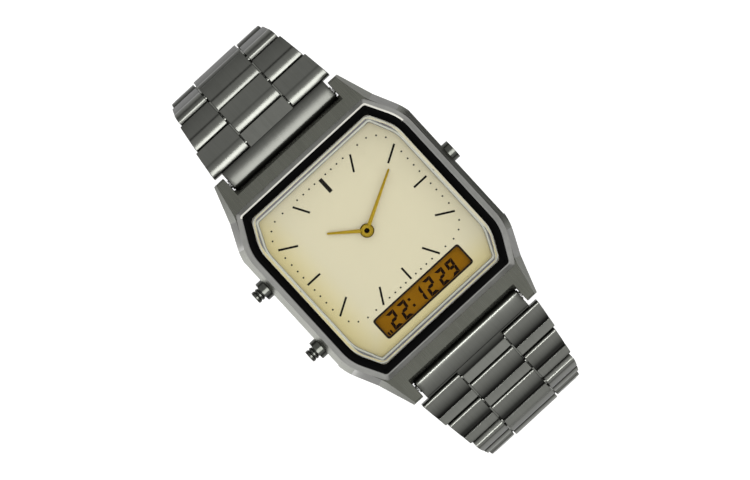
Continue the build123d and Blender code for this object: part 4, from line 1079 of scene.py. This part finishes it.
def buildHands():
    for body in ("hour", "minute"):
        look = handsMm[body]
        low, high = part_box(look["node"])
        base, thick = low.z, (high.z - low.z) / mm
        rootHalf, tipHalf = handsMm["rootWidth"] / 2, handsMm["tipWidth"] / 2
        hub, spine, length = handsMm["hubRadius"], handsMm["spine"], look["length"]
        start = sqrt(hub**2 - rootHalf**2) - handsMm["overlap"]
        rings = [(rootHalf, start), (tipHalf, length - tipHalf), (tipHalf * handsMm["point"], length)]
        vertices = []
        for halfWide, reach in rings:
            section = ((-halfWide, 0), (-halfWide, thick - spine), (0, thick), (halfWide, thick - spine),
                       (halfWide, 0))
            vertices += [(*ray(look["angle"], reach, x), z) for x, z in section]
        faces = skinFaces(len(section), len(rings))
        bore, foot = look["bore"], handsMm["hubFoot"]
        (edgeIn, edgeDown), (mouthOut, mouthDown) = handsMm["hubEdge"], handsMm["hubMouth"]
        ring = [(bore, 0), (hub - foot, 0), (hub, foot), (hub, thick - edgeDown), (hub - edgeIn, thick),
                (bore + mouthOut, thick), (bore, thick - mouthDown), (bore, 0)]
        first = len(vertices)
        hubVertices, hubFaces = lathe(ring)
        vertices += hubVertices
        faces += [tuple(first + i for i in face) for face in hubFaces]
        places = [(handsAxis.x + x * mm, handsAxis.y + y * mm, base + z * mm) for x, y, z in vertices]
        piece = meshObject(f"{body}_pointer", places, faces, [giltBrass], smoothDegrees=30)
        seatPiece(piece, body, "hand_gold", [look["node"]])


buildHands()
print("stage: hands")

# Pushers: turned steel heads with two fine grooves, and collars that hold them
pushMm = {
    "headRadius": 0.875, "headStart": 14.35, "stem": 0.45, "edge": 0.12, "edgeShare": 0.3, "sides": 40,
    # (radius, run from the inner end), then the grooves' places from the outer end and their section as
    # (share of the depth, run), and the dished end as (radius, depth)
    "foot": ((0, 0), (0.8, 0), (0.85, 0.05), (0.85, 0.2), (0.8, 0.25), (0.45, 0.25)),
    "grooves": (1.2, 0.7), "groove": 0.12,
    "grooveSection": ((0, 0), (0.8, 0.08), (1, 0.15), (0.8, 0.22), (0, 0.3)),
    "dish": ((0.3, 0.05), (0, 0.06)), "collarEdge": 0.06,
}
springMm = {"turns": 4.0, "coilRadius": 0.63, "wireRadius": 0.07, "endGap": 0.02, "keep": 0.38,
            "turnSteps": 24, "wireSides": 8}


def buildPushSpring(name, side):
    # A wound spring round the stem; it flattens as the head goes in
    low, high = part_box(f"pusher_spring_{name}")
    centre, length = (low + high) / 2, (high.x - low.x) / mm
    seat = (low.x if side > 0 else high.x) / mm
    turns, radius, wire = springMm["turns"], springMm["coilRadius"], springMm["wireRadius"]
    climb = (length - 2 * springMm["endGap"] - 2 * wire) / turns
    vertices, steps, ring = [], int(turns * springMm["turnSteps"]), springMm["wireSides"]
    for i in range(steps + 1):
        a = 2 * pi * turns * i / steps
        reach = springMm["endGap"] + wire + climb * a / (2 * pi)
        for k in range(ring):
            b = 2 * pi * k / ring
            r = radius + wire * cos(b)
            vertices.append(((seat + side * (reach + wire * sin(b))) * mm, centre.y + r * cos(a) * mm,
                             centre.z + r * sin(a) * mm))
    coil = meshObject(f"push_coil_{name}", vertices, skinFaces(ring, steps + 1), [turnedSteel],
                      smoothDegrees=60)
    seatPiece(coil, "case", "spring_steel", [f"pusher_spring_{name}"])
    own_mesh(coil)


def buildPushers():
    for name, side in (("upper_left", -1), ("lower_left", -1), ("right", 1)):
        low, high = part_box(f"pusher_{name}")
        centre = (low + high) / 2
        outEnd = (high.x if side > 0 else -low.x) / mm
        inEnd = (-high.x if side < 0 else low.x) / mm
        r, g, e, start = (pushMm[key] for key in ("headRadius", "groove", "edge", "headStart"))
        profile = [(radius, inEnd + run) for radius, run in pushMm["foot"]]
        profile += [(pushMm["stem"], start), (r - e, start), (r, start + e)]
        grooves = [(r - g * share, outEnd - back + run) for back in pushMm["grooves"]
                   for share, run in pushMm["grooveSection"]]
        profile += [p for p in grooves if p[1] > start + 2 * e]
        nick = e * pushMm["edgeShare"]
        profile += [(r, outEnd - e), (r - nick, outEnd - nick), (r - e, outEnd)]
        profile += [(radius, outEnd - depth) for radius, depth in pushMm["dish"]]
        vertices, faces = lathe(profile, pushMm["sides"])
        places = [(side * z * mm, centre.y + x * mm, centre.z + y * mm) for x, y, z in vertices]
        piece = meshObject(f"push_head_{name}", places, faces, [blackenedSteel], smoothDegrees=35)
        lightWith(piece, "rows12", "caseMetal", "flanks")
        seatPiece(piece, f"pusher_{name}", "push_steel", [f"pusher_{name}"])
        buildPushSpring(name, side)
    collars = remade("pusher_collars", "push_collars", blackenedSteel)
    lightWith(collars, "rows12", "caseMetal", "flanks")
    roundEdges(collars, pushMm["collarEdge"], segments=2, angle=40)
    collars.modifiers["roundEdges"].use_clamp_overlap = False
    seatPiece(collars, "case", "push_steel", ["pusher_collars"])


buildPushers()
print("stage: pushers")

# Nodes that stay as they are, with their real finishes
for material, names in (
    (turnedSteel, ("spring_bars", "blade_pin", "clasp_bar", "cover_rivets", "cell", "quartz_can",
                   "cell_clip")),
    (arborSteel, ("minute_arbor",)), (giltBrass, ("motion_wheel", "hour_wheel")),
    (blackNylon, ("module_frame",)), (greenBoard, ("circuit_board",)), (blackEpoxy, ("driver_chip",)),
    (sealRubber, ("case_back_seal",)), (zebraRubber, ("connector_strips",)), (copperWire, ("motor_coil",)),
):
    paint(names, material)

print("stage: done")
